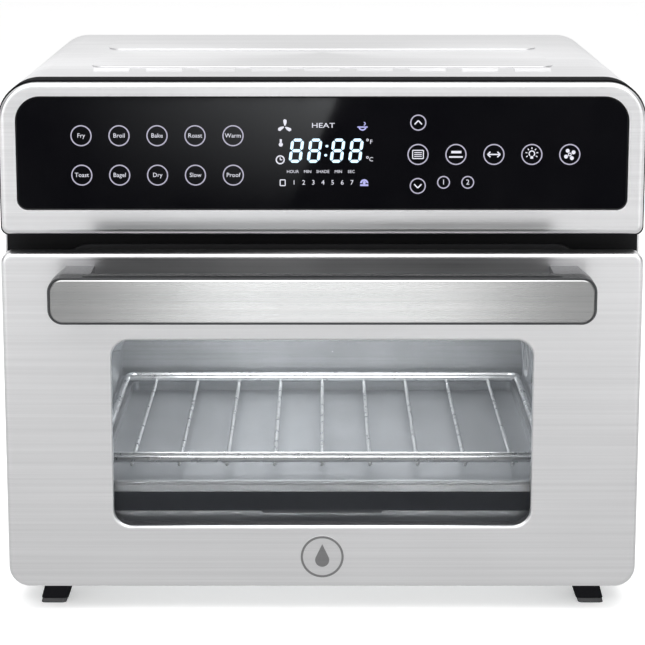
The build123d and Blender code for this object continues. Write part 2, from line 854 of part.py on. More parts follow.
def make_fan_nut():
    x0 = cavity_half - guard_depth + 1.7
    nut = Pos(x0, fan_y, fan_z) * extrude(Plane.YZ * RegularPolygon(nut_radius, 6), nut_thick)
    return nut - round_x(shaft_radius, x0 - 1, x0 + 2, fan_y, fan_z)


def make_fan_motor():
    near, far = motor_x()
    top = fan_z + motor_height * motor_above
    stack = block(near, far, fan_y - motor_width / 2, fan_y + motor_width / 2, top - motor_height, top)
    coil = round_y(motor_coil_radius, fan_y - motor_coil_length / 2, fan_y + motor_coil_length / 2,
                   (near + far) / 2, fan_z - motor_height * motor_coil_drop)
    caps = round_x(motor_cap_radius, near - motor_cap_near, far + motor_cap_far, fan_y, fan_z)
    motor = stack + coil + caps
    return motor - round_x(shaft_radius + running, near - 6, far + 9, fan_y, fan_z)


def make_motor_bracket():
    """Plate across the motor's near face, on four legs from the cavity wall."""
    near, far = motor_x()
    wall = cavity_half + liner_sheet
    low, high = fan_z - bracket_half_height, fan_z + bracket_half_height
    plate = block(near - bracket_plate, near, fan_y - bracket_half_span, fan_y + bracket_half_span, low, high)
    plate -= round_x(motor_cap_radius + part_gap, near - 2 * bracket_plate, near + 1, fan_y, fan_z)
    for side in (-1, 1):
        y0, y1 = sorted(fan_y + side * reach for reach in (bracket_half_span, bracket_half_span - bracket_leg))
        plate += block(wall, near, y0, y1, low, high)
    return plate


def make_lamp_lens():
    wall = -cavity_half
    y, z = lamp_y, cavity_low + lamp_rise
    outer = lens_radius - lens_rim
    inner = outer - lens_wall
    face = wall + lens_wall
    behind = block(wall - outer, wall, y - lens_radius, y + lens_radius, z - lens_radius, z + lens_radius)
    lens = Pos(face, y, z) * Sphere(outer) - behind
    lens += round_x(lens_radius, wall, face, y, z)
    return lens - Pos(face, y, z) * Sphere(inner) - round_x(inner, wall - 1, face, y, z)


def make_lamp_bulb():
    wall = -cavity_half - liner_sheet
    y, z = lamp_y, cavity_low + lamp_rise
    tip = wall + bulb_reach
    root = tip - bulb_length
    bulb = round_x(bulb_radius, root, tip, y, z)
    bulb = fillet(bulb.faces().sort_by(Axis.X)[-1].edges(), bulb_radius * 0.7)
    return bulb + round_x(bulb_cap_radius, root - bulb_cap_length, root, y, z)


def make_lamp_socket():
    wall = -cavity_half - liner_sheet
    y, z = lamp_y, cavity_low + lamp_rise
    root = wall + bulb_reach - bulb_length
    mouth = root - part_gap
    back = mouth - socket_length
    low, high = z - socket_arm_half_height, z + socket_arm_half_height
    arm = back + socket_radius / 2
    socket = block(arm - socket_arm_thick, arm, y - socket_arm_reach, y + socket_arm_reach, low, high)
    socket += round_x(socket_radius, back, mouth, y, z)
    for side in (-1, 1):
        y0, y1 = sorted(y + side * reach for reach in (socket_arm_reach, socket_arm_reach - socket_arm_thick))
        socket += block(arm - socket_arm_thick, wall, y0, y1, low, high)
    return socket - round_x(bulb_cap_radius + running, root - bulb_cap_length, mouth + 1, y, z)


def make_temperature_probe():
    y, z = probe_y, cavity_low + probe_rise
    wall = cavity_half
    outside = wall + liner_sheet
    probe = round_x(probe_radius, wall - probe_length, wall + probe_tail, y, z)
    probe = fillet(probe.faces().sort_by(Axis.X)[0].edges(), probe_radius * 0.8)
    return probe + round_x(probe_collar_radius, outside, outside + probe_collar_thick, y, z)


def make_thermal_cutout():
    wall = cavity_half + liner_sheet
    y, z = fan_y + cutout_y_set, fan_z + cutout_rise
    face = wall + cutout_thick
    body = round_x(cutout_radius, wall, face, y, z)
    for side in (-1, 1):
        tab_y = y + side * cutout_tab_pitch
        body += block(face, face + cutout_thick, tab_y - 0.5, tab_y + 0.5,
                      z - cutout_tab_half_height, z + cutout_tab_half_height)
    return body


def make_door_sensor():
    """Magnetic door sensor on the back of the frame."""
    x = -cavity_half - seal_margin - seal_width - sensor_gap
    z = cavity_high - sensor_drop
    case = block(x - sensor_half_width, x + sensor_half_width, frame_back, frame_back + sensor_depth,
                 z - sensor_half_height, z + sensor_half_height)
    return fillet(case.edges().filter_by(Axis.Y), sensor_half_width / 3)


# ------------------------------------------------------------------ hinge

def ear_x():
    """Near and far faces of the right-hand hinge bracket's ear."""
    near = leaf_x()[1] + part_gap + hinge_space
    return near, near + ear_thick


def leaf_x():
    """Near and far faces of the right-hand hinge leaf."""
    near = bay_x + part_gap + hinge_space
    return near, near + leaf_thick


def make_hinge_bracket():
    x0, x1 = ear_x()
    ear = round_x(ear_radius, x0, x1, pivot_y, pivot_z)
    ear += block(x0, x1, pivot_y, frame_y, pivot_z - ear_radius, pivot_z + ear_radius)
    foot = block(x0, half - 1.5 * sheet, frame_y - bracket_foot, frame_y,
                 pivot_z - bracket_below, pivot_z + bracket_above)
    bracket = ear + foot - round_x(pin_radius + running, x0 - 1, x1 + 1, pivot_y, pivot_z)
    for x, z in bracket_holes():
        if x > 0:
            bracket -= screw_hole(x, frame_y, z, Rot(90, 0, 0), 3)
    return bracket


def stop_angle():
    """Where the stop sits on the stay, so that it reaches the frame when the door is fully down."""
    at_frame = degrees(acos((frame_back - pivot_y) / stay_radius))
    return at_frame - degrees((stay_stop + part_gap) / stay_radius) - door_swing


def stay_arc(x0, x1):
    """Curved stay about the pivot, which slides through the frame as the door drops."""
    low_angle = stop_angle() - stay_tail
    high_angle = degrees(acos((panel_back - pivot_y - 2) / stay_radius))
    ring = round_x(stay_radius + stay_width / 2, x0, x1, pivot_y, pivot_z)
    ring -= round_x(stay_radius - stay_width / 2, x0 - 1, x1 + 1, pivot_y, pivot_z)
    far = 3 * stay_radius
    corner = [(0, 0)] + [(far * cos(radians(a)), far * sin(radians(a)))
                         for a in (low_angle, (low_angle + high_angle) / 2, high_angle)]
    wedge = extrude(Plane.YZ * make_face(Polyline(*corner, close=True)), x1 - x0 + 2)
    return ring & Pos(x0 - 1, pivot_y, pivot_z) * wedge


def make_hinge_leaf():
    x0, x1 = leaf_x()
    y0, y1 = front_y + sheet, panel_back - 2
    z1 = pivot_z + stay_radius + stay_width / 2
    leaf = block(x0, x1, y0, y1, pivot_z - ear_radius, z1)
    leaf = fillet(leaf.edges().filter_by(Axis.X), 3)
    leaf += stay_arc(x0, x1)
    angle = radians(stop_angle())
    stop_y = pivot_y + stay_radius * cos(angle)
    stop_z = pivot_z + stay_radius * sin(angle)
    leaf += round_x(stay_stop, x0 - 3, x1 + 3, stop_y, stop_z)
    middle = (y0 + y1) / 2
    for rise in leaf_tab_rises:
        leaf += block(bay_x, x0, middle - leaf_tab_half_width, middle + leaf_tab_half_width,
                      pivot_z + rise - leaf_tab_half_height, pivot_z + rise + leaf_tab_half_height)
    return leaf - round_x(pin_radius, x0 - 1, x1 + 1, pivot_y, pivot_z)


def make_hinge_pins():
    x0, x1 = leaf_x()
    near, far = ear_x()
    end = far + 2 * spring_wire * (spring_turns + 1.2)
    pin = round_x(pin_radius, x0 - pin_set, end, pivot_y, pivot_z)
    pin += round_x(pin_head, x0 - pin_set - pin_head_thick, x0 - pin_set, pivot_y, pivot_z)
    return both_sides(pin)


def make_door_springs():
    """Torsion spring round each pin, with a leg up the door and a leg back to the bracket."""
    near, far = ear_x()
    start = far + 2 * spring_wire
    coil_radius = pin_radius + spring_fit + spring_wire
    pitch = 2.15 * spring_wire
    line = Helix(pitch=pitch, height=pitch * spring_turns, radius=coil_radius)
    section = Plane(origin=line @ 0, z_dir=line % 0) * Circle(spring_wire)
    coil = sweep(section, line, is_frenet=True)
    coil = Pos(start, pivot_y, pivot_z) * Rot(0, 90, 0) * coil
    end = start + pitch * spring_turns
    leg_y = pivot_y - coil_radius
    long_leg = round_z(spring_wire, pivot_z, pivot_z + spring_long_leg, start, leg_y)
    short_leg = round_z(spring_wire, pivot_z, pivot_z + spring_short_leg, end, leg_y)
    return both_sides(coil + long_leg + short_leg)


# ------------------------------------------------------------------ door

def window_shape(grow, front, back):
    """The door window, made larger by a margin."""
    return upright(window_half_width + grow, window_low - grow, window_high + grow,
                   window_round + grow, window_round + grow, front, back)


def make_door_skin():
    skin = pan(half, door_low, door_high, door_round_low, door_round_high,
               front_y, skin_back, sheet, edge_round)
    lip = window_shape(lip_wall, front_y + sheet / 2, front_y + window_lip)
    skin += lip
    cut = window_shape(0, front_y - 1, front_y + window_lip + 1)
    skin -= cut
    rim = skin.faces().sort_by(Axis.Y)[0].inner_wires()[0].edges()
    skin = fillet(rim, lip_round)
    for side in (-1, 1):
        x0, x1 = sorted((side * (bay_x + part_gap), side * (half - door_round_low)))
        skin -= block(x0, x1, front_y + 1.5 * sheet, skin_back + 1, door_low - 1, door_low + 2 * sheet)
        for z in handle_screw_heights():
            skin -= round_y(screw_radius + screw_clear, front_y - 1, front_y + 3, side * handle_screw_x(), z)
    return skin


def panel_low():
    return door_low + panel_margin


def make_door_inner_panel():
    low, high = panel_low(), door_high - panel_margin
    front = front_y + sheet
    panel = upright(bay_x, low, high, 4, 4, front, panel_back)
    panel -= upright(bay_x - sheet, low + sheet, high - sheet, 3, 3, front - 1, panel_back - sheet)
    return panel - window_shape(panel_lap, panel_back - 2 * sheet, panel_back + 1)


def make_outer_glass():
    front = front_y + window_lip
    return window_shape(pane_lap, front, front + pane)


def make_inner_glass():
    back = panel_back - sheet
    return window_shape(2 * pane_lap, back - pane, back)


def make_glass_frame():
    front = front_y + window_lip + pane
    back = panel_back - sheet - pane
    return window_shape(pane_lap, front, back) - window_shape(2, front - 1, back + 1)


def handle_screw_x():
    return (post_inner + post_root) / 2


def handle_screw_heights():
    return (bar_low + handle_screw_in, bar_high - handle_screw_in)


def post(side):
    """End post that runs straight out from the door and flares out to the end of the bar."""
    edge = (Line((post_inner, front_y), (post_root, front_y))
            + TangentArc((post_root, front_y), (post_tip, bar_back), tangent=(0, -1))
            + Line((post_tip, bar_back), (post_inner, bar_back))
            + Line((post_inner, bar_back), (post_inner, front_y)))
    solid = Pos(0, 0, bar_low) * extrude(make_face(edge), bar_height)
    solid &= upright(bar_half_length, bar_low, bar_high, bar_round, bar_round, bar_back - 1, front_y)
    return solid if side > 0 else mirror(solid, about=Plane.YZ)


def make_handle_posts():
    posts = []
    for side in (-1, 1):
        solid = post(side)
        for z in handle_screw_heights():
            solid -= round_y(screw_radius + screw_clear, front_y - screw_depth - 1, front_y + 1,
                             side * handle_screw_x(), z)
        posts.append(solid)
    return Compound(children=posts)


def make_handle_carrier():
    """Dark bar that the face plate is let into."""
    bar = upright(bar_half_length, bar_low, bar_high, bar_round, bar_round, bar_front, bar_back)
    bar = fillet(bar.faces().sort_by(Axis.Y)[0].edges(), bar_ease)
    return bar - plate_shape(seat, bar_front - 1, bar_front + plate_thick - plate_proud)


def plate_shape(grow, front, back):
    """Outline of the handle's face plate, made larger by a margin."""
    return upright(bar_half_length - plate_side + grow, bar_low + plate_edge - grow,
                   bar_high - plate_edge + grow, plate_round + grow, plate_round + grow, front, back)


def make_handle_plate():
    front = bar_front - plate_proud
    plate = plate_shape(0, front, front + plate_thick)
    return chamfer(plate.faces().sort_by(Axis.Y)[0].edges(), 0.7)


def make_handle_screws():
    screws = [screw(side * handle_screw_x(), front_y + sheet, z, Rot(-90, 0, 0), screw_depth)
              for side in (-1, 1) for z in handle_screw_heights()]
    return Compound(children=screws)


def make_badge():
    """Plain ringed disc with a drop-shaped flame, raised on the door."""
    z = door_low + badge_rise
    back = front_y
    disc = round_y(badge_radius, back - badge_field, back, 0, z)
    ring = (round_y(badge_radius, back - badge_thick, back, 0, z)
            - round_y(badge_radius - badge_ring, back - badge_thick - 1, back + 1, 0, z))
    flame = round_y(flame_radius, back - badge_thick, back, 0, z - flame_drop)
    shoulder = flame_radius * cos(radians(25))
    side = flame_radius * sin(radians(25)) - flame_drop
    tip = make_face(Polyline((-shoulder, side), (shoulder, side), (0, flame_tip), close=True))
    flame += Pos(0, back, z) * extrude(Plane.XZ * tip, badge_thick)
    return disc + ring + flame


# ------------------------------------------------------------------ rack and tray

def make_wire_rack():
    y0 = frame_y + rack_set
    y1 = liner_back - rack_back_gap
    x = rack_half
    rack = round_x(wire_radius, -x, x, y0, rack_z)
    for y in (y0 + twin_wire_gap, y1 - twin_wire_gap, y1):
        rack += round_x(wire_radius, -x, x, y, rack_z)
    for side in (-1, 1):
        rack += round_y(wire_radius, y0, y1, side * x, rack_z)
        for y in (y0, y1):
            rack += Pos(side * x, y, rack_z) * Sphere(wire_radius)
    drop = (wire_radius + bar_wire_radius) * 0.8
    count = int((x - wire_radius) // bar_wire_pitch)
    for i in range(-count, count + 1):
        rack += round_y(bar_wire_radius, y0 - wire_radius, y1 + wire_radius, i * bar_wire_pitch, rack_z - drop)
    return rack


def make_drip_pan():
    """Shallow pan. Its side rims slide on the rails' lowest ledges, and its front edge is rolled."""
    rim_low = rack_z - wire_radius + rail_levels[0] + tray_lift
    high = rim_low + pan_sheet
    low = high - pan_depth
    rim_half = cavity_half - rail_thick - 2 * part_gap
    well_half = cavity_half - rail_ledge - 2 * part_gap
    y0, y1 = frame_y + pan_set, liner_back - tray_back_gap
    rim = block(-rim_half, rim_half, y0, y1, rim_low, high)
    rim = fillet(rim.edges().filter_by(Axis.Z), tray_round)
    well = fillet(block(-well_half, well_half, y0, y1, low, high).edges().filter_by(Axis.Z), tray_round)
    hollow = block(-well_half + pan_sheet, well_half - pan_sheet, y0 + pan_sheet, y1 - pan_sheet,
                   low + pan_sheet, high + 1)
    hollow = fillet(hollow.edges().filter_by(Axis.Z), tray_round - pan_sheet)
    bead = round_x(pan_bead, tray_round - well_half, well_half - tray_round, y0, high - pan_bead)
    return rim + well + bead - hollow


def make_crumb_tray():
    x = cavity_half - cavity_round - part_gap
    low = cavity_low + tray_lift
    high = low + tray_height
    y0, y1 = frame_y + tray_set, liner_back - tray_back_gap
    tray = fillet(block(-x, x, y0, y1, low, high).edges().filter_by(Axis.Z), tray_round)
    hollow = block(-x + tray_sheet, x - tray_sheet, y0 + tray_sheet, y1 - tray_sheet,
                   low + tray_sheet, high + 1)
    tray -= fillet(hollow.edges().filter_by(Axis.Z), tray_round - tray_sheet)
    grip = block(-tray_grip_half_width, tray_grip_half_width, y0 - tray_grip_reach, y0 + tray_sheet / 2,
                 high - tray_sheet, high)
    return tray + fillet(grip.faces().sort_by(Axis.Y)[0].edges().filter_by(Axis.Z), tray_grip_reach * 0.6)


# ------------------------------------------------------------------ output

def all_parts():
    """Every piece by name."""
    rail = make_rack_rail()
    leaf = make_hinge_leaf()
    bracket = make_hinge_bracket()
    parts = {
        "wrapper": make_wrapper(),
        "rear_cover": make_rear_cover(),
        "case_screws": make_case_screws(),
        "rear_spacers": make_rear_spacers(),
        "cord_gland": make_cord_gland(),
        "base_plate": make_base_plate(),
        "front_frame": make_front_frame(),
        "foot_pads": make_foot_pads(),
        "head_bezel": make_head_bezel(),
        "head_surround": make_head_surround(),
        "control_glass": make_control_glass(),
        "touch_board": make_touch_board(),
        "display_module": make_display_module(),
        "heat_shield": make_heat_shield(),
        "power_board": make_power_board(),
        "relays": make_relays(),
        "transformer": make_transformer(),
        "terminal_block": make_terminal_block(),
        "cavity_liner": make_cavity_liner(),
        "insulation": make_insulation(),
        "door_seal": make_door_seal(),
        "heating_elements": make_heating_elements(),
        "element_ceramics": make_element_ceramics(),
        "rack_rail_right": rail,
        "rack_rail_left": mirror(rail, about=Plane.YZ),
        "fan_guard": make_fan_guard(),
        "fan_blade": make_fan_blade(),
        "fan_shaft": make_fan_shaft(),
        "fan_nut": make_fan_nut(),
        "fan_motor": make_fan_motor(),
        "motor_bracket": make_motor_bracket(),
        "lamp_lens": make_lamp_lens(),
        "lamp_bulb": make_lamp_bulb(),
        "lamp_socket": make_lamp_socket(),
        "temperature_probe": make_temperature_probe(),
        "thermal_cutout": make_thermal_cutout(),
        "door_sensor": make_door_sensor(),
        "hinge_bracket_right": bracket,
        "hinge_bracket_left": mirror(bracket, about=Plane.YZ),
        "hinge_leaf_right": leaf,
        "hinge_leaf_left": mirror(leaf, about=Plane.YZ),
        "hinge_pins": make_hinge_pins(),
        "door_springs": make_door_springs(),
        "door_skin": make_door_skin(),
        "door_inner_panel": make_door_inner_panel(),
        "outer_glass": make_outer_glass(),
        "inner_glass": make_inner_glass(),
        "glass_frame": make_glass_frame(),
        "handle_carrier": make_handle_carrier(),
        "handle_posts": make_handle_posts(),
        "handle_plate": make_handle_plate(),
        "handle_screws": make_handle_screws(),
        "door_badge": make_badge(),
        "wire_rack": make_wire_rack(),
        "drip_pan": make_drip_pan(),
        "crumb_tray": make_crumb_tray(),
    }
    names = ("foot_front_left", "foot_front_right", "foot_rear_left", "foot_rear_right")
    for name, place in zip(names, foot_places()):
        parts[name] = make_foot(*place)
    return parts


os.makedirs("parts", exist_ok=True)
for name, shape in all_parts().items():
    export_step(shape, "parts/" + name + ".step")
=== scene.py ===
import json
import math

import bmesh
import bpy
from mathutils import Matrix, Vector


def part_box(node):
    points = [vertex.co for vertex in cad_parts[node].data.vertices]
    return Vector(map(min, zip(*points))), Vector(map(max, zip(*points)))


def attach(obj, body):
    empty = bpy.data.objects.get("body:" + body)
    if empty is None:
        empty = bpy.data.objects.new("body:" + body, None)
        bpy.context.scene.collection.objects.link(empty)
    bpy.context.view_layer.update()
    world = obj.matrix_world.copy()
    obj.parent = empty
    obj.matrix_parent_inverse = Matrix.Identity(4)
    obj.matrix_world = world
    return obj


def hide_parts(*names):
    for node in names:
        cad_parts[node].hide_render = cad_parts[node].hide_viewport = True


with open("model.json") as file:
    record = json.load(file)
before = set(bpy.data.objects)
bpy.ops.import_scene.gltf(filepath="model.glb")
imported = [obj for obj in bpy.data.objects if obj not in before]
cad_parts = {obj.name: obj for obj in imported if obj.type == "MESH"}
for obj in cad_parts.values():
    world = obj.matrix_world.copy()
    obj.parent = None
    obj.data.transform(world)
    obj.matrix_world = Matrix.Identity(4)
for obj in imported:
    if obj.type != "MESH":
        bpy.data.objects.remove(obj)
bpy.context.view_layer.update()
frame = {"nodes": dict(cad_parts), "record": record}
scene = bpy.context.scene

# ---------------------------------------------------------------- places read from the frame

MM = 0.001
AIR_FRONT = 0.78                   # brightness of the studio air ahead and to the sides
AIR_SIDE = 0.22
GREY_PAPER = 0.56                  # brightness of the card the door's lower half reflects
FLAG_HEIGHT = 0.022                # flag above the handle plate
FRAME_WIRE = 2.2 * MM              # radius of the rack's frame wires
BAR_WIRE = 1.3 * MM                # radius of its cross wires
BAR_PITCH = 32.2 * MM
PRINT_SLOT = "black_glass"         # slot name passed to grow with the key rings
skin_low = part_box("door_skin")[0]
glass_low, glass_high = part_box("control_glass")
plate_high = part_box("handle_plate")[1]
rack_low, rack_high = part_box("wire_rack")
liner_low, liner_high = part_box("cavity_liner")
wool_low, wool_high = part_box("insulation")


# ---------------------------------------------------------------- materials

class Finish:
    """A node material being built: keeps the tree, the shader and short ways to add nodes."""

    def __init__(self, name, color, metallic=0.0, rough=0.5, specular=0.5):
        self.material = bpy.data.materials.new(name)
        self.material.use_nodes = True
        self.tree = self.material.node_tree
        self.shader = self.tree.nodes["Principled BSDF"]
        self.set("Base Color", (*color, 1.0))
        self.set("Metallic", metallic)
        self.set("Roughness", rough)
        self.set("Specular IOR Level", specular)
        self.material.diffuse_color = (*color, 1.0)

    def set(self, socket, value):
        self.shader.inputs[socket].default_value = value

    def node(self, kind, **values):
        made = self.tree.nodes.new(kind)
        for key, value in values.items():
            setattr(made, key, value)
        return made

    def link(self, a, b):
        self.tree.links.new(a, b)

    def drive(self, socket, source):
        self.link(source, self.shader.inputs[socket])

    def coordinates(self, scale=(1, 1, 1), move=(0, 0, 0)):
        """Object coordinates, stretched so that a pattern follows the grain."""
        source = self.node("ShaderNodeTexCoord")
        mapping = self.node("ShaderNodeMapping")
        mapping.inputs["Scale"].default_value = scale
        mapping.inputs["Location"].default_value = move
        self.link(source.outputs["Object"], mapping.inputs["Vector"])
        return mapping.outputs["Vector"]

    def noise(self, vector, scale, detail=2.0, rough=0.5):
        made = self.node("ShaderNodeTexNoise")
        made.inputs["Scale"].default_value = scale
        made.inputs["Detail"].default_value = detail
        made.inputs["Roughness"].default_value = rough
        self.link(vector, made.inputs["Vector"])
        return made.outputs["Fac"]

    def spread(self, factor, low, high, start=0.3, end=0.7, smooth=False):
        """A factor brought to a range."""
        made = self.node("ShaderNodeMapRange")
        if smooth:
            made.interpolation_type = "SMOOTHSTEP"
        made.inputs["From Min"].default_value = start
        made.inputs["From Max"].default_value = end
        made.inputs["To Min"].default_value = low
        made.inputs["To Max"].default_value = high
        self.link(factor, made.inputs["Value"])
        return made.outputs["Result"]

    def tint(self, factor, dark, light):
        """Two colours mixed by a factor."""
        made = self.node("ShaderNodeMix", data_type="RGBA")
        made.inputs["A"].default_value = (*dark, 1.0)
        made.inputs["B"].default_value = (*light, 1.0)
        self.link(factor, made.inputs["Factor"])
        return made.outputs["Result"]

    def math(self, operation, a, b=None):
        made = self.node("ShaderNodeMath", operation=operation)
        for socket, value in zip(made.inputs, (a, b)):
            if isinstance(value, (int, float)):
                socket.default_value = value
            elif value is not None:
                self.link(value, socket)
        return made.outputs[0]

    def scaled(self, color, factor):
        """A colour made darker or lighter by a factor."""
        made = self.node("ShaderNodeVectorMath", operation="SCALE")
        self.link(color, made.inputs[0])
        self.link(factor, made.inputs["Scale"])
        return made.outputs[0]

    def axis(self, name):
        """Object coordinate along one axis."""
        split = self.node("ShaderNodeSeparateXYZ")
        self.link(self.coordinates(), split.inputs[0])
        return split.outputs[name]

    def bump(self, height, strength, distance):
        made = self.node("ShaderNodeBump")
        made.inputs["Strength"].default_value = strength
        made.inputs["Distance"].default_value = distance
        self.link(height, made.inputs["Height"])
        self.link(made.outputs["Normal"], self.shader.inputs["Normal"])


def shade(color, factor):
    return tuple(min(1.0, c * factor) for c in color)


def brushed_metal(name, color, rough, grain, streak=0.07, depth=0.00003, painted_end_shade=None, spin=0.25):
    """Brushed sheet. The noise is drawn out along the brush lines and fine across them. Where the end
    shade is given, painted shade darkens the colour towards both ends along X, standing in for the
    highlight that falls off away from the middle."""
    finish = Finish(name, color, metallic=1.0, rough=rough)
    fine = finish.noise(finish.coordinates(grain), 1.0, detail=3.0, rough=0.6)
    broad = finish.noise(finish.coordinates(tuple(g * 0.2 for g in grain)), 1.0, detail=2.0)
    smudge = finish.noise(finish.coordinates((9, 9, 9)), 1.0, detail=3.0)
    lines = finish.math("ADD", fine, broad)
    color_out = finish.tint(finish.spread(lines, 0.0, 1.0, 0.75, 1.25), shade(color, 1 - streak),
                            shade(color, 1 + streak))
    # painted shade: the colour is scaled down towards both ends along X, in place of the highlight's falloff
    if painted_end_shade:
        reach, end_shade_factor = painted_end_shade
        off_middle = finish.math("ABSOLUTE", finish.axis("X"))
        color_out = finish.scaled(color_out, finish.spread(off_middle, 1.0, end_shade_factor, reach * 0.2, reach, smooth=True))
    finish.drive("Base Color", color_out)
    finish.drive("Roughness", finish.spread(finish.math("ADD", fine, smudge), rough - 0.05, rough + 0.07,
                                            0.75, 1.25))
    finish.bump(lines, 0.35, depth)
    finish.set("Anisotropic", 0.45)
    finish.set("Anisotropic Rotation", spin)
    return finish


def painted(name, color, rough, grain=900.0, depth=0.00002, vary=0.12, metallic=0.0, specular=0.5):
    """Paint, enamel or plastic with a fine texture and slight unevenness."""
    finish = Finish(name, color, metallic=metallic, rough=rough, specular=specular)
    field = finish.coordinates()
    fine = finish.noise(field, grain, detail=2.0)
    broad = finish.noise(field, 14.0, detail=4.0, rough=0.6)
    finish.drive("Base Color", finish.tint(finish.spread(broad, 0.0, 1.0), shade(color, 1 - vary),
                                           shade(color, 1 + vary)))
    finish.drive("Roughness", finish.spread(finish.math("ADD", fine, broad), rough - 0.06,
                                            min(rough + 0.08, 1.0), 0.75, 1.25))
    finish.bump(fine, 0.3, depth)
    return finish


def plated(name, color, rough):
    """Bright plating with faint drawing lines and haze."""
    finish = Finish(name, color, metallic=1.0, rough=rough)
    haze = finish.noise(finish.coordinates(), 120.0, detail=4.0, rough=0.65)
    finish.drive("Base Color", finish.tint(finish.spread(haze, 0.0, 1.0), shade(color, 0.9), shade(color, 1.05)))
    finish.drive("Roughness", finish.spread(haze, max(rough - 0.04, 0.02), rough + 0.08))
    finish.bump(haze, 0.15, 0.00002)
    return finish


def spangled(name, color, rough):
    """Zinc-coated sheet: crystals of slightly different grey."""
    finish = Finish(name, color, metallic=0.9, rough=rough)
    crystals = finish.node("ShaderNodeTexVoronoi")
    crystals.inputs["Scale"].default_value = 110.0
    finish.link(finish.coordinates(), crystals.inputs["Vector"])
    grey = finish.node("ShaderNodeRGBToBW")
    finish.link(crystals.outputs["Color"], grey.inputs[0])
    finish.drive("Base Color", finish.tint(grey.outputs[0], shade(color, 0.82), shade(color, 1.12)))
    finish.drive("Roughness", finish.spread(grey.outputs[0], rough - 0.06, rough + 0.1, 0.0, 1.0))
    finish.bump(finish.noise(finish.coordinates(), 260.0), 0.2, 0.00002)
    return finish


def black_glass():
    finish = Finish("black_control_glass", (0.003, 0.003, 0.004), rough=0.05, specular=0.25)
    field = finish.coordinates()
    film = finish.noise(field, 22.0, detail=5.0, rough=0.6)
    finish.drive("Roughness", finish.spread(film, 0.03, 0.08))
    finish.drive("Base Color", finish.tint(film, (0.002, 0.002, 0.003), (0.005, 0.005, 0.006)))
    finish.bump(finish.noise(field, 6.0, detail=1.0), 0.02, 0.0001)
    return finish


def badge_steel():
    """Badge in the door's steel, with its raised ring and flame in a darker plating."""
    finish = brushed_metal("badge_steel", (0.86, 0.86, 0.87), 0.32, FRONT_GRAIN, streak=0.05)
    steel = finish.shader.inputs["Base Color"].links[0].from_socket
    raised = finish.spread(finish.axis("Y"), 0.36, 1.0, skin_low.y - 0.0010, skin_low.y - 0.0007)
    finish.drive("Base Color", finish.scaled(steel, raised))
    return finish


def clear_glass(name, color, alpha, specular=0.5):
    """Thin glass: mostly see-through, with a faint film of handling marks."""
    finish = Finish(name, color, rough=0.04, specular=specular)
    film = finish.noise(finish.coordinates(), 16.0, detail=5.0, rough=0.6)
    finish.drive("Roughness", finish.spread(film, 0.02, 0.10))
    finish.drive("Alpha", finish.spread(film, alpha - 0.03, alpha + 0.03))
    return finish


def cavity_coating():
    """Pale heat-resistant coating, drawn along the oven's width and darker towards the floor."""
    color = (0.42, 0.435, 0.45)
    finish = Finish("cavity_coating", color, metallic=0.55, rough=0.36)
    brushed = finish.noise(finish.coordinates((8, 8, 500)), 1.0, detail=3.0)
    stain = finish.noise(finish.coordinates(), 11.0, detail=5.0, rough=0.65)
    clean = finish.tint(finish.spread(brushed, 0.0, 1.0), shade(color, 0.9), shade(color, 1.08))
    # darker towards the floor: colour scaled to 0.92 at the floor, rising to full over the lowest 60 mm
    height = finish.spread(finish.axis("Z"), 0.92, 1.0, liner_low.z, liner_low.z + 0.06, smooth=True)
    stain_and_low_darkening = finish.math("MULTIPLY", height, finish.spread(stain, 0.9, 1.05))
    finish.drive("Base Color", finish.scaled(clean, stain_and_low_darkening))
    finish.drive("Roughness", finish.spread(stain, 0.30, 0.46))
    finish.bump(brushed, 0.25, 0.00004)
    return finish


def heater_sheath():
    """Rod with a heat-darkened skin, browner where it ran hottest."""
    finish = Finish("heater_sheath", (0.12, 0.11, 0.10), metallic=0.7, rough=0.42)
    burn = finish.noise(finish.coordinates((22, 60, 60)), 1.0, detail=4.0, rough=0.6)
    finish.drive("Base Color", finish.tint(finish.spread(burn, 0.0, 1.0), (0.07, 0.065, 0.06), (0.22, 0.19, 0.16)))
    finish.drive("Roughness", finish.spread(burn, 0.34, 0.55))
    finish.bump(finish.noise(finish.coordinates(), 900.0), 0.25, 0.00003)
    return finish


def glow(name, color, strength):
    """Lit legend under the glass, with the fine dots of a printed mask."""
    finish = Finish(name, shade(color, 0.4), rough=0.35, specular=0.1)
    dots = finish.noise(finish.coordinates(), 2500.0, detail=1.0)
    finish.drive("Emission Color", finish.tint(finish.spread(dots, 0.0, 1.0), shade(color, 0.8), color))
    finish.set("Emission Strength", strength)
    return finish


FRONT_GRAIN = (6.0, 40.0, 2200.0)
WRAP_GRAIN = (6.0, 1800.0, 6.0)
BAR_GRAIN = (5.0, 40.0, 2600.0)
plate_half = plate_high.x

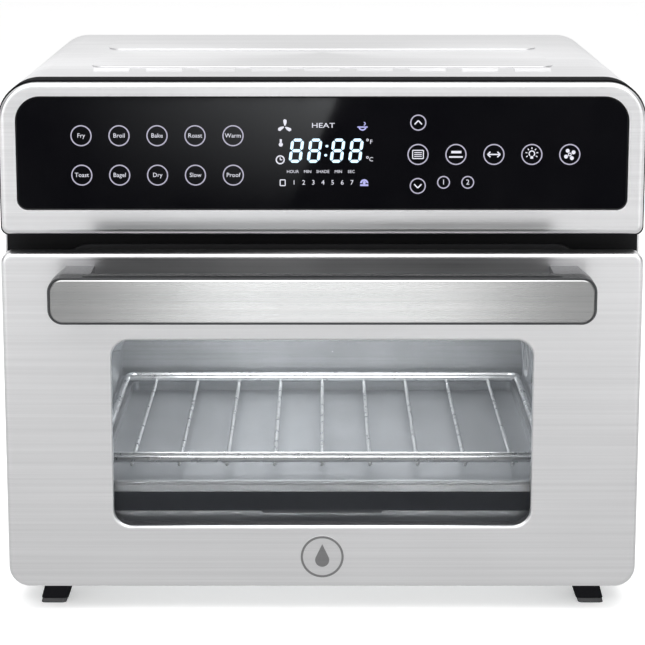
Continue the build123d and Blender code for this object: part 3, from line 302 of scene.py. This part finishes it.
finishes = {
    "brushed_wrap": brushed_metal("brushed_wrapper_steel", (0.85, 0.85, 0.86), 0.34, WRAP_GRAIN, spin=0.0),
    "brushed_front": brushed_metal("brushed_front_steel", (0.91, 0.91, 0.92), 0.33, FRONT_GRAIN, streak=0.05),
    # painted shade: the handle plate's colour falls to 0.42 of itself at its ends
    "handle_plate_steel": brushed_metal("brushed_handle_steel", (0.94, 0.95, 0.95), 0.27, BAR_GRAIN,
                                        painted_end_shade=(plate_half, 0.42)),
    "gunmetal": painted("gunmetal_handle_paint", (0.055, 0.057, 0.06), 0.34, grain=500.0, depth=0.000008,
                        metallic=0.6),
    "post_grey": painted("grey_post_paint", (0.22, 0.22, 0.23), 0.40, grain=500.0, depth=0.000008,
                         metallic=0.6),
    "black_glass": black_glass(),
    "window_glass": clear_glass("window_glass", (0.02, 0.022, 0.026), 0.10),
    "black_plastic": painted("black_moulding", (0.006, 0.006, 0.007), 0.8, depth=0.00004, specular=0.05),
    "pad_rubber": painted("grey_pad_rubber", (0.05, 0.05, 0.052), 0.8, specular=0.2),
    "seal_silicone": painted("dark_silicone", (0.03, 0.03, 0.033), 0.6),
    "frame_black": painted("black_frame_enamel", (0.008, 0.008, 0.009), 0.55, specular=0.2),
    "galvanised": spangled("zinc_coated_sheet", (0.52, 0.54, 0.55), 0.36),
    "cavity_steel": cavity_coating(),
    "door_liner_steel": painted("door_liner_enamel", (0.10, 0.105, 0.11), 0.4, metallic=0.5),
    "chrome_wire": plated("chrome_wire", (0.94, 0.95, 0.96), 0.28),
    "heater_sheath": heater_sheath(),
    "steatite": painted("steatite_ceramic", (0.80, 0.77, 0.70), 0.6, grain=500.0),
    "hinge_steel": plated("hinge_steel", (0.50, 0.51, 0.52), 0.3),
    "pin_steel": plated("pin_steel", (0.68, 0.68, 0.69), 0.18),
    "spring_steel": plated("spring_steel", (0.32, 0.32, 0.33), 0.3),
    "screw_steel": plated("screw_steel", (0.62, 0.62, 0.63), 0.22),
    "blade_aluminium": plated("blade_aluminium", (0.72, 0.73, 0.74), 0.28),
    "motor_iron": painted("motor_iron", (0.12, 0.115, 0.11), 0.5, grain=500.0, metallic=0.5),
    "board_green": painted("board_mask", (0.02, 0.12, 0.05), 0.3),
    "display_black": painted("display_block", (0.012, 0.012, 0.014), 0.25),
    "relay_black": painted("relay_case", (0.03, 0.032, 0.036), 0.4),
    "glass_wool": painted("glass_wool", (0.72, 0.68, 0.52), 0.92, grain=260.0, depth=0.0006, vary=0.25),
    "lamp_glass": clear_glass("lamp_glass", (0.85, 0.82, 0.75), 0.35),
}
print_white = glow("legend_white", (0.72, 0.72, 0.80), 0.75)
print_ring = glow("legend_ring", (0.50, 0.48, 0.60), 0.55)
print_digits = glow("legend_digits", (0.62, 0.84, 1.0), 1.15)
print_violet = glow("legend_violet", (0.42, 0.42, 0.75), 0.8)

badge_finish = badge_steel()

slot_of = {s["node"]: s["material_slot"] for s in frame["record"]["subparts"]}
for node_name, node_object in frame["nodes"].items():
    node_object.data.materials.clear()
    finish = badge_finish if node_name == "door_badge" else finishes[slot_of[node_name]]
    node_object.data.materials.append(finish.material)


def keep(name, mesh, body):
    """A finished mesh as a piece of the oven."""
    piece = bpy.data.objects.new(name, mesh)
    scene.collection.objects.link(piece)
    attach(piece, body)
    return piece


# ---------------------------------------------------------------- trees for what repeats

class Maker:
    """A Geometry Nodes tree being built, with named inputs."""

    def __init__(self, name, **inputs):
        self.tree = bpy.data.node_groups.new(name, "GeometryNodeTree")
        self.tree.interface.new_socket("Places", in_out="INPUT", socket_type="NodeSocketGeometry")
        self.tree.interface.new_socket("Piece", in_out="OUTPUT", socket_type="NodeSocketGeometry")
        self.keys = {}
        for label, value in inputs.items():
            kind = "NodeSocketInt" if isinstance(value, int) else "NodeSocketFloat"
            socket = self.tree.interface.new_socket(label, in_out="INPUT", socket_type=kind)
            socket.default_value = value
            self.keys[label] = socket.identifier
        self.source = self.tree.nodes.new("NodeGroupInput")

    def __getitem__(self, label):
        return self.source.outputs[label]

    def add(self, kind, values=None, out=0, **settings):
        """Adds a node, sets or links its inputs, and gives one of its outputs."""
        made = self.tree.nodes.new(kind)
        for key, value in settings.items():
            setattr(made, key, value)
        for socket, value in (values or {}).items():
            if isinstance(value, bpy.types.NodeSocket):
                self.tree.links.new(value, made.inputs[socket])
            else:
                made.inputs[socket].default_value = value
        return made.outputs[out]

    def math(self, operation, a, b):
        return self.add("ShaderNodeMath", {0: a, 1: b}, operation=operation)

    def at(self, x=0.0, y=0.0, z=0.0):
        return self.add("ShaderNodeCombineXYZ", {"X": x, "Y": y, "Z": z})

    def join(self, *parts):
        node = self.tree.nodes.new("GeometryNodeJoinGeometry")
        for part in parts:
            self.tree.links.new(part, node.inputs[0])
        return node.outputs[0]

    def rod(self, path, radius, sides):
        """Round wire along a curve, closed at its ends."""
        ring = self.add("GeometryNodeCurvePrimitiveCircle", {"Resolution": sides, "Radius": radius})
        return self.add("GeometryNodeCurveToMesh", {"Curve": path, "Profile Curve": ring, "Fill Caps": True})

    def copies(self, points, thing):
        return self.add("GeometryNodeInstanceOnPoints", {"Points": points, "Instance": thing})

    def close(self, shape, finish, smooth=True):
        """Ends the tree: real geometry, smooth faces and its material."""
        real = self.add("GeometryNodeRealizeInstances", {0: shape})
        real = self.add("GeometryNodeSetShadeSmooth", {"Geometry": real, "Shade Smooth": smooth})
        done = self.add("GeometryNodeSetMaterial", {"Geometry": real, "Material": finish.material})
        self.tree.links.new(done, self.tree.nodes.new("NodeGroupOutput").inputs[0])
        return self


def grow(maker, name, body, slot, places=((0, 0, 0),), **values):
    """Runs a tree on points at the places given, and keeps what it makes as a plain mesh."""
    start = bpy.data.meshes.new(name + "_places")
    start.from_pydata([tuple(p) for p in places], [], [])
    former = bpy.data.objects.new(name + "_former", start)
    scene.collection.objects.link(former)
    modifier = former.modifiers.new(name, "NODES")
    modifier.node_group = maker.tree
    for label, value in values.items():
        modifier[maker.keys[label]] = value
    formed = former.evaluated_get(bpy.context.evaluated_depsgraph_get())
    mesh = bpy.data.meshes.new_from_object(formed)
    bpy.data.objects.remove(former)
    return keep(name, mesh, body)


def rack_maker():
    """Rack from its rule: a frame wire with rounded corners, a second wire near each end, and cross
    wires at one pitch under them, each welded where it crosses."""
    m = Maker("rack_wires", half_width=0.15, front=-0.09, back=0.15, height=0.087, frame_wire=0.0022,
              bar_wire=0.0013, bar_count=9, bar_pitch=0.0322, twin_gap=0.0106, corner=0.007)
    depth = m.math("SUBTRACT", m["back"], m["front"])
    middle = m.math("MULTIPLY", m.math("ADD", m["back"], m["front"]), 0.5)
    width = m.math("MULTIPLY", m["half_width"], 2.0)
    loop = m.add("GeometryNodeCurvePrimitiveQuadrilateral", {"Width": width, "Height": depth})
    loop = m.add("GeometryNodeFilletCurve", {"Curve": loop, "Radius": m["corner"], "Count": 8}, mode="POLY")
    loop = m.add("GeometryNodeTransform", {"Geometry": loop, "Translation": m.at(0.0, middle, m["height"])})
    rim = m.rod(loop, m["frame_wire"], 16)

    along = m.add("GeometryNodeCurvePrimitiveLine", {"Start": m.at(m.math("MULTIPLY", m["half_width"], -1.0)),
                                                     "End": m.at(m["half_width"])})
    second = m.math("ADD", m["front"], m["twin_gap"])
    third = m.math("SUBTRACT", m["back"], m["twin_gap"])
    rows = [m.rod(m.add("GeometryNodeTransform", {"Geometry": along, "Translation": m.at(0.0, y, m["height"])}),
                  m["frame_wire"], 16) for y in (second, third)]

    drop = m.math("MULTIPLY", m.math("ADD", m["frame_wire"], m["bar_wire"]), 0.8)
    bar_z = m.math("SUBTRACT", m["height"], drop)
    first_x = m.math("MULTIPLY", m.math("MULTIPLY", m.math("SUBTRACT", m["bar_count"], 1.0), -0.5), m["bar_pitch"])
    bar_front = m.math("SUBTRACT", m["front"], m["frame_wire"])
    bar_length = m.math("ADD", depth, m.math("MULTIPLY", m["frame_wire"], 2.0))

    def bar_line(y, z):
        return m.add("GeometryNodeMeshLine", {"Count": m["bar_count"], "Start Location": m.at(first_x, y, z),
                                              "Offset": m.at(m["bar_pitch"])})

    bar = m.add("GeometryNodeCurvePrimitiveLine", {"End": m.at(0.0, bar_length)})
    bars = m.copies(bar_line(bar_front, bar_z), m.rod(bar, m["bar_wire"], 12))
    tip = m.add("GeometryNodeMeshUVSphere", {"Segments": 12, "Rings": 8, "Radius": m["bar_wire"]})
    bar_back = m.math("ADD", bar_front, bar_length)
    tips = [m.copies(bar_line(y, bar_z), tip) for y in (bar_front, bar_back)]
    weld = m.add("GeometryNodeMeshUVSphere", {"Segments": 12, "Rings": 8, "Radius": m["bar_wire"]})
    weld = m.add("GeometryNodeTransform", {"Geometry": weld, "Scale": (1.35, 1.1, 0.8)})
    weld_z = m.math("SUBTRACT", m["height"], m.math("MULTIPLY", m["frame_wire"], 0.9))
    welds = [m.copies(bar_line(y, weld_z), weld) for y in (m["front"], second, third, m["back"])]
    return m.close(m.join(rim, *rows, bars, *tips, *welds), finishes["chrome_wire"])


def ring_maker(finish):
    """Flat printed ring at each place, facing the user."""
    m = Maker("printed_rings", radius=0.0067, line=0.0006, thick=0.00005)
    outer = m.add("GeometryNodeCurvePrimitiveCircle", {"Resolution": 48, "Radius": m["radius"]})
    hole = m.add("GeometryNodeCurvePrimitiveCircle", {"Resolution": 48,
                                                      "Radius": m.math("SUBTRACT", m["radius"], m["line"])})
    flat = m.add("GeometryNodeFillCurve", {"Curve": m.join(outer, hole)})
    raised = m.add("GeometryNodeExtrudeMesh", {"Mesh": flat, "Offset Scale": m["thick"], "Individual": False})
    under = m.add("GeometryNodeFlipFaces", {"Mesh": flat})
    solid = m.add("GeometryNodeMergeByDistance", {"Geometry": m.join(raised, under), "Distance": 1e-6})
    upright = m.add("GeometryNodeTransform", {"Geometry": solid, "Rotation": (math.radians(90), 0, 0)})
    return m.close(m.copies(m["Places"], upright), finish, smooth=False)


def wool_maker():
    """Blanket of glass wool: a block whose faces bulge and sink at random."""
    m = Maker("wool_blanket", width=0.29, depth=0.24, thick=0.006, lump=0.0016, seed=7.0)
    block = m.add("GeometryNodeMeshCube", {"Size": m.at(m["width"], m["depth"], m["thick"]),
                                           "Vertices X": 90, "Vertices Y": 76, "Vertices Z": 4})
    noise = m.add("ShaderNodeTexNoise", {"Scale": 60.0, "Detail": 3.0, "W": m["seed"]}, noise_dimensions="4D")
    sink = m.math("MULTIPLY", noise, m.math("MULTIPLY", m["lump"], -1.0))
    normal = m.add("GeometryNodeInputNormal")
    push = m.add("ShaderNodeVectorMath", {0: normal, "Scale": sink}, operation="SCALE")
    lumpy = m.add("GeometryNodeSetPosition", {"Geometry": block, "Offset": push})
    return m.close(m.copies(m["Places"], lumpy), finishes["glass_wool"])


def add_rack():
    """The rack's wires, to the sizes of its solid."""
    wire, bar, pitch = FRAME_WIRE, BAR_WIRE, BAR_PITCH
    reach = rack_high.x - wire
    count = 2 * int((reach - wire) // pitch) + 1
    height = rack_high.z - wire
    rack = grow(rack_maker(), "rack_wires", "rack", "chrome_wire", half_width=reach, front=rack_low.y + wire + bar,
                back=rack_high.y - wire - bar, height=height, frame_wire=wire, bar_wire=bar, bar_count=count,
                bar_pitch=pitch)
    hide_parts("wire_rack")


def add_wool():
    middle = (wool_low + wool_high) / 2
    size = wool_high - wool_low
    wool = grow(wool_maker(), "wool_blanket", "oven", "glass_wool", places=[middle], width=size.x, depth=size.y,
                thick=size.z)
    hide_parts("insulation")


# ---------------------------------------------------------------- legends on the control glass

PANEL_MIDDLE = (glass_low.z + glass_high.z) / 2
LEGEND_THICK = 0.05 * MM
LEGEND_FACE = glass_low.y - 0.01 * MM
SLANT = 0.13                       # digits lean by this much of their height

# ---- keys, in millimetres across from the middle and up from the glass's own middle
KEY_PITCH = 23.95
KEY_RADIUS = 6.7
KEY_LINE = 0.75
KEY_FIRST_X = -152.0
KEY_ROWS = (11.2, -13.9)
ACTION_FIRST_X = 60.5
ACTION_ROW = -0.7
STEP_RADIUS = 5.1
STEP_ROWS = (19.5, -20.8)
LEVEL_RADIUS = 4.1
LEVEL_X = (76.8, 92.1)
LEVEL_ROW = -18.5
KEY_WORDS = (("Fry", "Broil", "Bake", "Roast", "Warm"), ("Toast", "Bagel", "Dry", "Slow", "Proof"))

# ---- display
DIGIT_X = (-16.3, -4.8, 9.7, 21.3)
DIGIT_ROW = 1.7
DIGIT_WIDTH = 8.2
DIGIT_HEIGHT = 15.4
DIGIT_BAR = 1.9
COLON_X = 2.6
ICON_ROW = 17.6
WORD_ROW = -11.7
DAY_ROW = -18.7
DAY_FIRST_X = -17.8
DAY_PITCH = 6.1
KEY_WORD_HEIGHT = 3.9
LEVEL_WORD_HEIGHT = 4.6
FAN_LEAF = ((0.5, -0.4), (2.2, -1.15), (4.0, -1.25), (4.8, 0.0), (4.0, 1.0), (2.2, 0.7), (0.5, 0.2))


def spot(x, up):
    """A point on the control glass's face."""
    return Vector((x * MM, LEGEND_FACE, PANEL_MIDDLE + up * MM))


def lean(x, up, middle_up):
    return x + (up - middle_up) * SLANT


class Legend:
    """Thin printed shapes, collected in one mesh. All points are (across, up) in millimetres."""

    def __init__(self):
        self.mesh = bmesh.new()

    def outline(self, points):
        """Solid plate with this outline, its points anticlockwise as the user sees it."""
        front = [self.mesh.verts.new(spot(*p) - Vector((0, LEGEND_THICK, 0))) for p in points]
        back = [self.mesh.verts.new(spot(*p)) for p in points]
        self.mesh.faces.new(front)
        self.mesh.faces.new(back[::-1])
        for i in range(len(points)):
            j = (i + 1) % len(points)
            self.mesh.faces.new((front[j], front[i], back[i], back[j]))

    def bar(self, x0, up0, x1, up1, width):
        """Straight stroke between two points."""
        length = math.hypot(x1 - x0, up1 - up0)
        side_x, side_up = -(up1 - up0) / length * width / 2, (x1 - x0) / length * width / 2
        self.outline([(x0 - side_x, up0 - side_up), (x1 - side_x, up1 - side_up),
                      (x1 + side_x, up1 + side_up), (x0 + side_x, up0 + side_up)])

    def strokes(self, points, width):
        for (x0, up0), (x1, up1) in zip(points, points[1:]):
            self.bar(x0, up0, x1, up1, width)

    def disc(self, x, up, across, high=None, steps=24):
        """Filled round or oval."""
        high = high or across
        turns = [2 * math.pi * i / steps for i in range(steps)]
        self.outline([(x + across * math.cos(t), up + high * math.sin(t)) for t in turns])

    def arc(self, x, up, radius, width, start=0.0, end=360.0, steps=24):
        """Part of a ring, between two angles from the right."""
        turns = [math.radians(start + (end - start) * i / steps) for i in range(steps + 1)]
        for a, b in zip(turns, turns[1:]):
            self.outline([(x + r * math.cos(t), up + r * math.sin(t))
                          for r, t in ((radius, a), (radius, b), (radius - width, b), (radius - width, a))][::-1])

    def words(self, text, x, up, height, stretch=1.0):
        """Plain lettering, centred on a point."""
        data = bpy.data.curves.new("word", "FONT")
        data.body = text
        data.size = height * MM
        data.align_x = "CENTER"
        data.align_y = "CENTER"
        data.extrude = LEGEND_THICK / 2
        data.resolution_u = 2
        written = bpy.data.objects.new("word", data)
        scene.collection.objects.link(written)
        mesh = bpy.data.meshes.new_from_object(written.evaluated_get(bpy.context.evaluated_depsgraph_get()))
        bpy.data.objects.remove(written)
        place = Matrix.Translation(spot(x, up) - Vector((0, LEGEND_THICK / 2, 0)))
        mesh.transform(place @ Matrix.Rotation(math.radians(90), 4, "X") @ Matrix.Diagonal((stretch, 1, 1, 1)))
        self.mesh.from_mesh(mesh)
        bpy.data.meshes.remove(mesh)

    def keep(self, name, finish):
        mesh = bpy.data.meshes.new(name)
        bmesh.ops.recalc_face_normals(self.mesh, faces=self.mesh.faces)
        self.mesh.to_mesh(mesh)
        self.mesh.free()
        mesh.materials.append(finish.material)
        return keep(name, mesh, "oven")


def add_key_rings():
    """Rings round all the touch keys."""
    rings = ring_maker(print_ring)
    functions = [spot(KEY_FIRST_X + i * KEY_PITCH, row) for row in KEY_ROWS for i in range(5)]
    actions = [spot(ACTION_FIRST_X + i * KEY_PITCH, ACTION_ROW) for i in range(5)]
    grow(rings, "key_rings", "oven", PRINT_SLOT, places=functions + actions,
         radius=KEY_RADIUS * MM, line=KEY_LINE * MM)
    grow(rings, "step_rings", "oven", PRINT_SLOT, places=[spot(ACTION_FIRST_X, row) for row in STEP_ROWS],
         radius=STEP_RADIUS * MM, line=KEY_LINE * MM)
    grow(rings, "level_rings", "oven", PRINT_SLOT, places=[spot(x, LEVEL_ROW) for x in LEVEL_X],
         radius=LEVEL_RADIUS * MM, line=KEY_LINE * MM)


def add_key_words():
    legend = Legend()
    for row, words in zip(KEY_ROWS, KEY_WORDS):
        for i, word in enumerate(words):
            legend.words(word, KEY_FIRST_X + i * KEY_PITCH, row, KEY_WORD_HEIGHT)
    for number, x in zip("12", LEVEL_X):
        legend.words(number, x, LEVEL_ROW, LEVEL_WORD_HEIGHT)
    legend.keep("key_words", print_white)


def add_action_icons():
    """Pictures in the right-hand keys: toast level, two levels, swap, lamp and fan."""
    legend = Legend()
    x, up = ACTION_FIRST_X, ACTION_ROW
    legend.strokes([(x - 3.4, up - 2.6), (x + 3.4, up - 2.6), (x + 3.4, up + 2.6), (x - 3.4, up + 2.6),
                    (x - 3.4, up - 2.6)], 0.6)
    for rise in (-1.2, 0.0, 1.2):
        legend.bar(x - 2.4, up + rise, x + 2.4, up + rise, 0.5)
    x += KEY_PITCH
    legend.bar(x - 4.3, up - 1.6, x + 4.3, up - 1.6, 1.0)
    legend.bar(x - 3.0, up + 1.5, x + 3.4, up + 1.5, 1.5)
    x += KEY_PITCH
    legend.bar(x - 3.6, up, x + 3.6, up, 0.8)
    for side in (-1, 1):
        legend.strokes([(x + side * 2.2, up + 1.7), (x + side * 4.0, up), (x + side * 2.2, up - 1.7)], 0.8)
    x += KEY_PITCH
    legend.arc(x, up + 0.5, 2.1, 0.7, -50, 230)
    legend.bar(x - 0.9, up - 1.9, x + 0.9, up - 1.9, 1.6)
    for angle in range(-30, 211, 40):
        c, s = math.cos(math.radians(angle)), math.sin(math.radians(angle))
        legend.bar(x + 2.9 * c, up + 0.5 + 2.9 * s, x + 4.1 * c, up + 0.5 + 4.1 * s, 0.6)
    x += KEY_PITCH
    legend.arc(x, up, 1.2, 0.6)
    for angle in (30, 120, 210, 300):
        c, s = math.cos(math.radians(angle)), math.sin(math.radians(angle))
        legend.disc(x + 2.7 * c, up + 2.7 * s, 1.25)
    for row, side in zip(STEP_ROWS, (1, -1)):
        x = ACTION_FIRST_X
        legend.strokes([(x - 2.3, row - side * 1.1), (x, row + side * 1.3), (x + 2.3, row - side * 1.1)], 0.8)
    legend.keep("key_icons", print_white)


def segment_points(x, up, which):
    """Outline of one of the seven strokes of a digit, before it leans."""
    half_w, half_h, bar = DIGIT_WIDTH / 2 - DIGIT_BAR / 2, DIGIT_HEIGHT / 2 - DIGIT_BAR / 2, DIGIT_BAR / 2
    gap = 0.35
    if which in ("top", "middle", "bottom"):
        y = up + {"top": half_h, "middle": 0.0, "bottom": -half_h}[which]
        a, b = x - half_w + gap, x + half_w - gap
        return [(a, y), (a + bar, y - bar), (b - bar, y - bar), (b, y), (b - bar, y + bar), (a + bar, y + bar)]
    side, level = which
    a = up + (0.0 if level > 0 else -half_h) + gap
    b = up + (half_h if level > 0 else 0.0) - gap
    cx = x + side * half_w
    return [(cx, a), (cx + bar, a + bar), (cx + bar, b - bar), (cx, b), (cx - bar, b - bar), (cx - bar, a + bar)]


def add_digits():
    """Four slanted seven-stroke digits with the colon between them."""
    legend = Legend()
    strokes = ["top", "middle", "bottom"] + [(side, level) for side in (-1, 1) for level in (-1, 1)]
    for x in DIGIT_X:
        for which in strokes:
            legend.outline([(lean(a, b, DIGIT_ROW), b) for a, b in segment_points(x, DIGIT_ROW, which)])
    for rise in (-2.9, 2.9):
        legend.disc(lean(COLON_X, DIGIT_ROW + rise, DIGIT_ROW), DIGIT_ROW + rise, 0.95, 0.8)
    legend.keep("display_digits", print_digits)


def add_display_marks():
    """Small marks round the digits: fan, thermometer, clock, units, words and the days."""
    legend = Legend()
    fan_x, fan_up = -23.6, ICON_ROW - 0.6
    for turn in (90, 210, 330):
        c, s = math.cos(math.radians(turn)), math.sin(math.radians(turn))
        points = []
        for along, across in FAN_LEAF:
            points.append((fan_x + along * c - across * s, fan_up + along * s + across * c))
        legend.outline(points)
    legend.disc(-26.1, 5.6, 1.3)
    legend.bar(-26.1, 6.0, -26.1, 9.0, 1.3)
    legend.arc(-26.5, -4.1, 2.9, 0.8)
    legend.strokes([(-26.5, -2.6), (-26.5, -4.1), (-25.2, -4.1)], 0.6)
    legend.words("HEAT", 0.6, ICON_ROW, 4.4, 1.35)
    for word, x in (("HOUR", -18.6), ("MIN", -9.2), ("SHADE", 0.4), ("MIN", 10.2), ("SEC", 18.4)):
        legend.words(word, x, WORD_ROW, 2.7)
    for i in range(7):
        legend.words(str(i + 1), DAY_FIRST_X + i * DAY_PITCH, DAY_ROW, 4.2)
    for up, letter in ((7.2, "F"), (-3.9, "C")):
        legend.arc(28.6, up + 1.3, 0.8, 0.4)
        legend.words(letter, 30.9, up, 3.8)
    legend.strokes([(-26.6, -20.6), (-23.4, -20.6), (-23.4, -16.9), (-26.6, -16.9), (-26.6, -20.6)], 0.6)
    legend.keep("display_marks", print_white)


def add_display_pictures():
    """Steam and oven pictures, in the display's violet."""
    legend = Legend()
    legend.arc(25.4, ICON_ROW - 0.6, 2.6, 0.9, 175, 365)
    legend.bar(22.2, ICON_ROW - 0.9, 28.6, ICON_ROW - 0.9, 0.8)
    legend.arc(26.2, ICON_ROW + 1.2, 1.2, 0.6, -90, 90)
    legend.bar(24.0, DAY_ROW - 1.6, 29.2, DAY_ROW - 1.6, 1.2)
    legend.arc(26.6, DAY_ROW - 0.4, 2.6, 1.1, 0, 180)
    legend.disc(26.6, DAY_ROW, 1.0)
    legend.keep("display_pictures", print_violet)


# ---------------------------------------------------------------- camera, lights, floor

TOP_POWER = 29                     # lamps, in watts
LEFT_POWER = 7
RIGHT_POWER = 6
CAVITY_POWER = 0.85
FILL_POWER = 0.45
FILL_SPREAD = 38                   # degrees
FLOOR_GLOW = 0.32

CAMERA_PLACE = Vector((0.0002, skin_low.y - 1.402, 0.502))
CAMERA_PITCH = 11.03               # degrees below level
FOCAL_LENGTH = 125.08
SENSOR_WIDTH = 36.0
VIEW_SHIFT = -0.08


def add_camera():
    """Straight on and from a little above, as high as the oven's top needs."""
    data = bpy.data.cameras.new("view_camera")
    camera = bpy.data.objects.new("view_camera", data)
    scene.collection.objects.link(camera)
    data.sensor_width = SENSOR_WIDTH
    data.lens = FOCAL_LENGTH
    data.shift_y = VIEW_SHIFT
    camera.location = CAMERA_PLACE
    camera.rotation_euler = (math.radians(90 - CAMERA_PITCH), 0, 0)
    scene.camera = camera


def add_area(name, place, aim, size, power, color=(1, 1, 1)):
    data = bpy.data.lights.new(name, "AREA")
    data.shape = "RECTANGLE"
    data.size, data.size_y = size
    data.energy = power
    data.color = color
    lamp = bpy.data.objects.new(name, data)
    scene.collection.objects.link(lamp)
    way = Vector(aim) - Vector(place)
    lamp.matrix_world = Matrix.Translation(place) @ way.to_track_quat("-Z", "Y").to_matrix().to_4x4()
    return lamp


def add_stage(name, corners, material):
    mesh = bpy.data.meshes.new(name)
    mesh.from_pydata([tuple(c) for c in corners], [], [tuple(range(len(corners)))])
    mesh.materials.append(material)
    made = bpy.data.objects.new(name, mesh)
    scene.collection.objects.link(made)
    return made


def only_reflected(card):
    """A studio card that shows in reflections and nowhere else."""
    card.visible_camera = False
    card.visible_diffuse = False
    card.visible_shadow = False
    card.visible_transmission = False


def add_floor():
    reach = 6.0
    finish = painted("pale_floor", (0.95, 0.95, 0.95), 0.7, grain=60.0, vary=0.01, specular=0.1)
    finish.set("Emission Color", (1, 1, 1, 1))
    finish.set("Emission Strength", FLOOR_GLOW)
    add_stage("studio_floor", [(-reach, -reach, 0), (reach, -reach, 0), (reach, reach, 0), (-reach, reach, 0)],
              finish.material)


def mirrored(x, z, ahead):
    """The point this far in front of the control glass that is reflected at (x, z) on it."""
    face = Vector((x, glass_low.y, z))
    ray = face - CAMERA_PLACE
    ray.y = -ray.y
    return face + ray * (ahead / -ray.y)


def add_dark_card():
    """Dark cloth far in front of the oven, which keeps the control glass black."""
    cloth = painted("dark_cloth", (0.01, 0.01, 0.011), 0.9, specular=0.0)
    near, far, side, rise = skin_low.y - 1.45, skin_low.y - 3.6, 0.8, 0.004
    card = add_stage("dark_card", [(-side, far, rise), (side, far, rise), (side, near, rise),
                                   (-side, near, rise)], cloth.material)
    only_reflected(card)


def add_grey_card():
    """Mid-grey paper on the floor round the oven. The door's lower half and the sides reflect it."""
    paper = painted("grey_paper", (0.0, 0.0, 0.0), 1.0, specular=0.0)
    paper.set("Emission Color", (1, 1, 1, 1))
    paper.set("Emission Strength", GREY_PAPER)
    front, back, side, rise = skin_low.y - 0.80, skin_low.y + 1.3, 1.4, 0.003
    card = add_stage("grey_card", [(-side, front, rise), (side, front, rise), (side, back, rise),
                                   (-side, back, rise)], paper.material)
    only_reflected(card)


def add_handle_flag():
    """Low black flag along the top of the handle. It keeps the strip of door above the bar dark."""
    cloth = painted("flag_cloth", (0.008, 0.008, 0.009), 0.9, specular=0.0)
    side, top, bottom = plate_high.x - 0.02, plate_high.z + FLAG_HEIGHT, plate_high.z - 0.002
    y = plate_high.y + 0.004
    card = add_stage("handle_flag", [(-side, y, bottom), (side, y, bottom), (side, y, top),
                                     (-side, y, top)], cloth.material)
    only_reflected(card)


def add_glare_card():
    """Lit card whose slanted edge is reflected across the display, fading to the left and down."""
    ahead = 0.75
    lit = Finish("glare_card", (0.0, 0.0, 0.0), rough=1.0, specular=0.0)
    edge = mirrored(0.010, glass_high.z, ahead)
    left = mirrored(-0.175, glass_high.z, ahead)
    bottom = mirrored(-0.022, glass_low.z, ahead)
    across = lit.spread(lit.axis("X"), 0.0, 1.0, left.x, edge.x)
    down = lit.spread(lit.axis("Z"), 0.0, 1.0, bottom.z, edge.z)
    lit.set("Emission Color", (0.95, 0.98, 1.0, 1))
    lit.drive("Emission Strength", lit.math("MULTIPLY", lit.math("POWER", across, 1.5),
                                            lit.math("MULTIPLY", lit.math("POWER", down, 1.2), 4.2)))
    card = add_stage("glare_card", [(left.x, left.y, left.z), (edge.x, edge.y, edge.z),
                                    (bottom.x, bottom.y, bottom.z), (left.x, bottom.y, bottom.z)], lit.material)
    only_reflected(card)


def set_world():
    """Soft white studio air, dimmer to the sides so that edges are drawn dark, white behind the oven."""
    world = bpy.data.worlds.new("studio_air")
    scene.world = world
    world.use_nodes = True
    nodes, links = world.node_tree.nodes, world.node_tree.links
    ground = nodes["Background"]
    ground.inputs["Strength"].default_value = 1.0
    place = nodes.new("ShaderNodeTexCoord")
    split = nodes.new("ShaderNodeSeparateXYZ")
    links.new(place.outputs["Generated"], split.inputs[0])
    side = nodes.new("ShaderNodeMath")
    side.operation = "ABSOLUTE"
    links.new(split.outputs["X"], side.inputs[0])
    fall = nodes.new("ShaderNodeMapRange")
    fall.interpolation_type = "SMOOTHSTEP"
    for label, value in (("From Min", 0.55), ("From Max", 0.95), ("To Min", AIR_FRONT), ("To Max", AIR_SIDE)):
        fall.inputs[label].default_value = value
    links.new(side.outputs[0], fall.inputs["Value"])
    seen = nodes.new("ShaderNodeLightPath")
    mix = nodes.new("ShaderNodeMix")
    mix.data_type = "RGBA"
    links.new(seen.outputs["Is Camera Ray"], mix.inputs["Factor"])
    links.new(fall.outputs["Result"], mix.inputs["A"])
    mix.inputs["B"].default_value = (1.0, 1.0, 1.0, 1.0)
    links.new(mix.outputs["Result"], ground.inputs["Color"])


def add_lamps():
    """Softboxes above and beside the oven, one lamp under the cavity's roof, and a low narrow one in
    front that fills the cavity and shows in no reflection."""
    add_area("top_softbox", (0, -0.3, 1.8), (0, 0, 0.2), (2.4, 1.8), TOP_POWER)
    add_area("left_softbox", (-1.9, -1.3, 1.1), (0, 0, 0.2), (1.2, 1.6), LEFT_POWER)
    add_area("right_softbox", (1.9, -1.3, 1.1), (0, 0, 0.2), (1.2, 1.6), RIGHT_POWER)
    middle = (liner_low + liner_high) / 2
    add_area("cavity_glow", (0, middle.y, liner_high.z - 0.012), (0, middle.y + 0.02, liner_low.z),
             (0.24, 0.2), CAVITY_POWER, (0.97, 0.985, 1.0))
    fill = add_area("low_fill", (0, skin_low.y - 0.45, 0.10), (0, 0, 0.09), (0.4, 0.06), FILL_POWER)
    fill.data.spread = math.radians(FILL_SPREAD)
    fill.visible_glossy = False
    fill.visible_camera = False


add_rack()
add_wool()
add_key_rings()
add_key_words()
add_action_icons()
add_digits()
add_display_marks()
add_display_pictures()

add_camera()
add_floor()
add_dark_card()
add_grey_card()
add_handle_flag()
add_glare_card()
set_world()
add_lamps()
scene.view_settings.view_transform = "Standard"
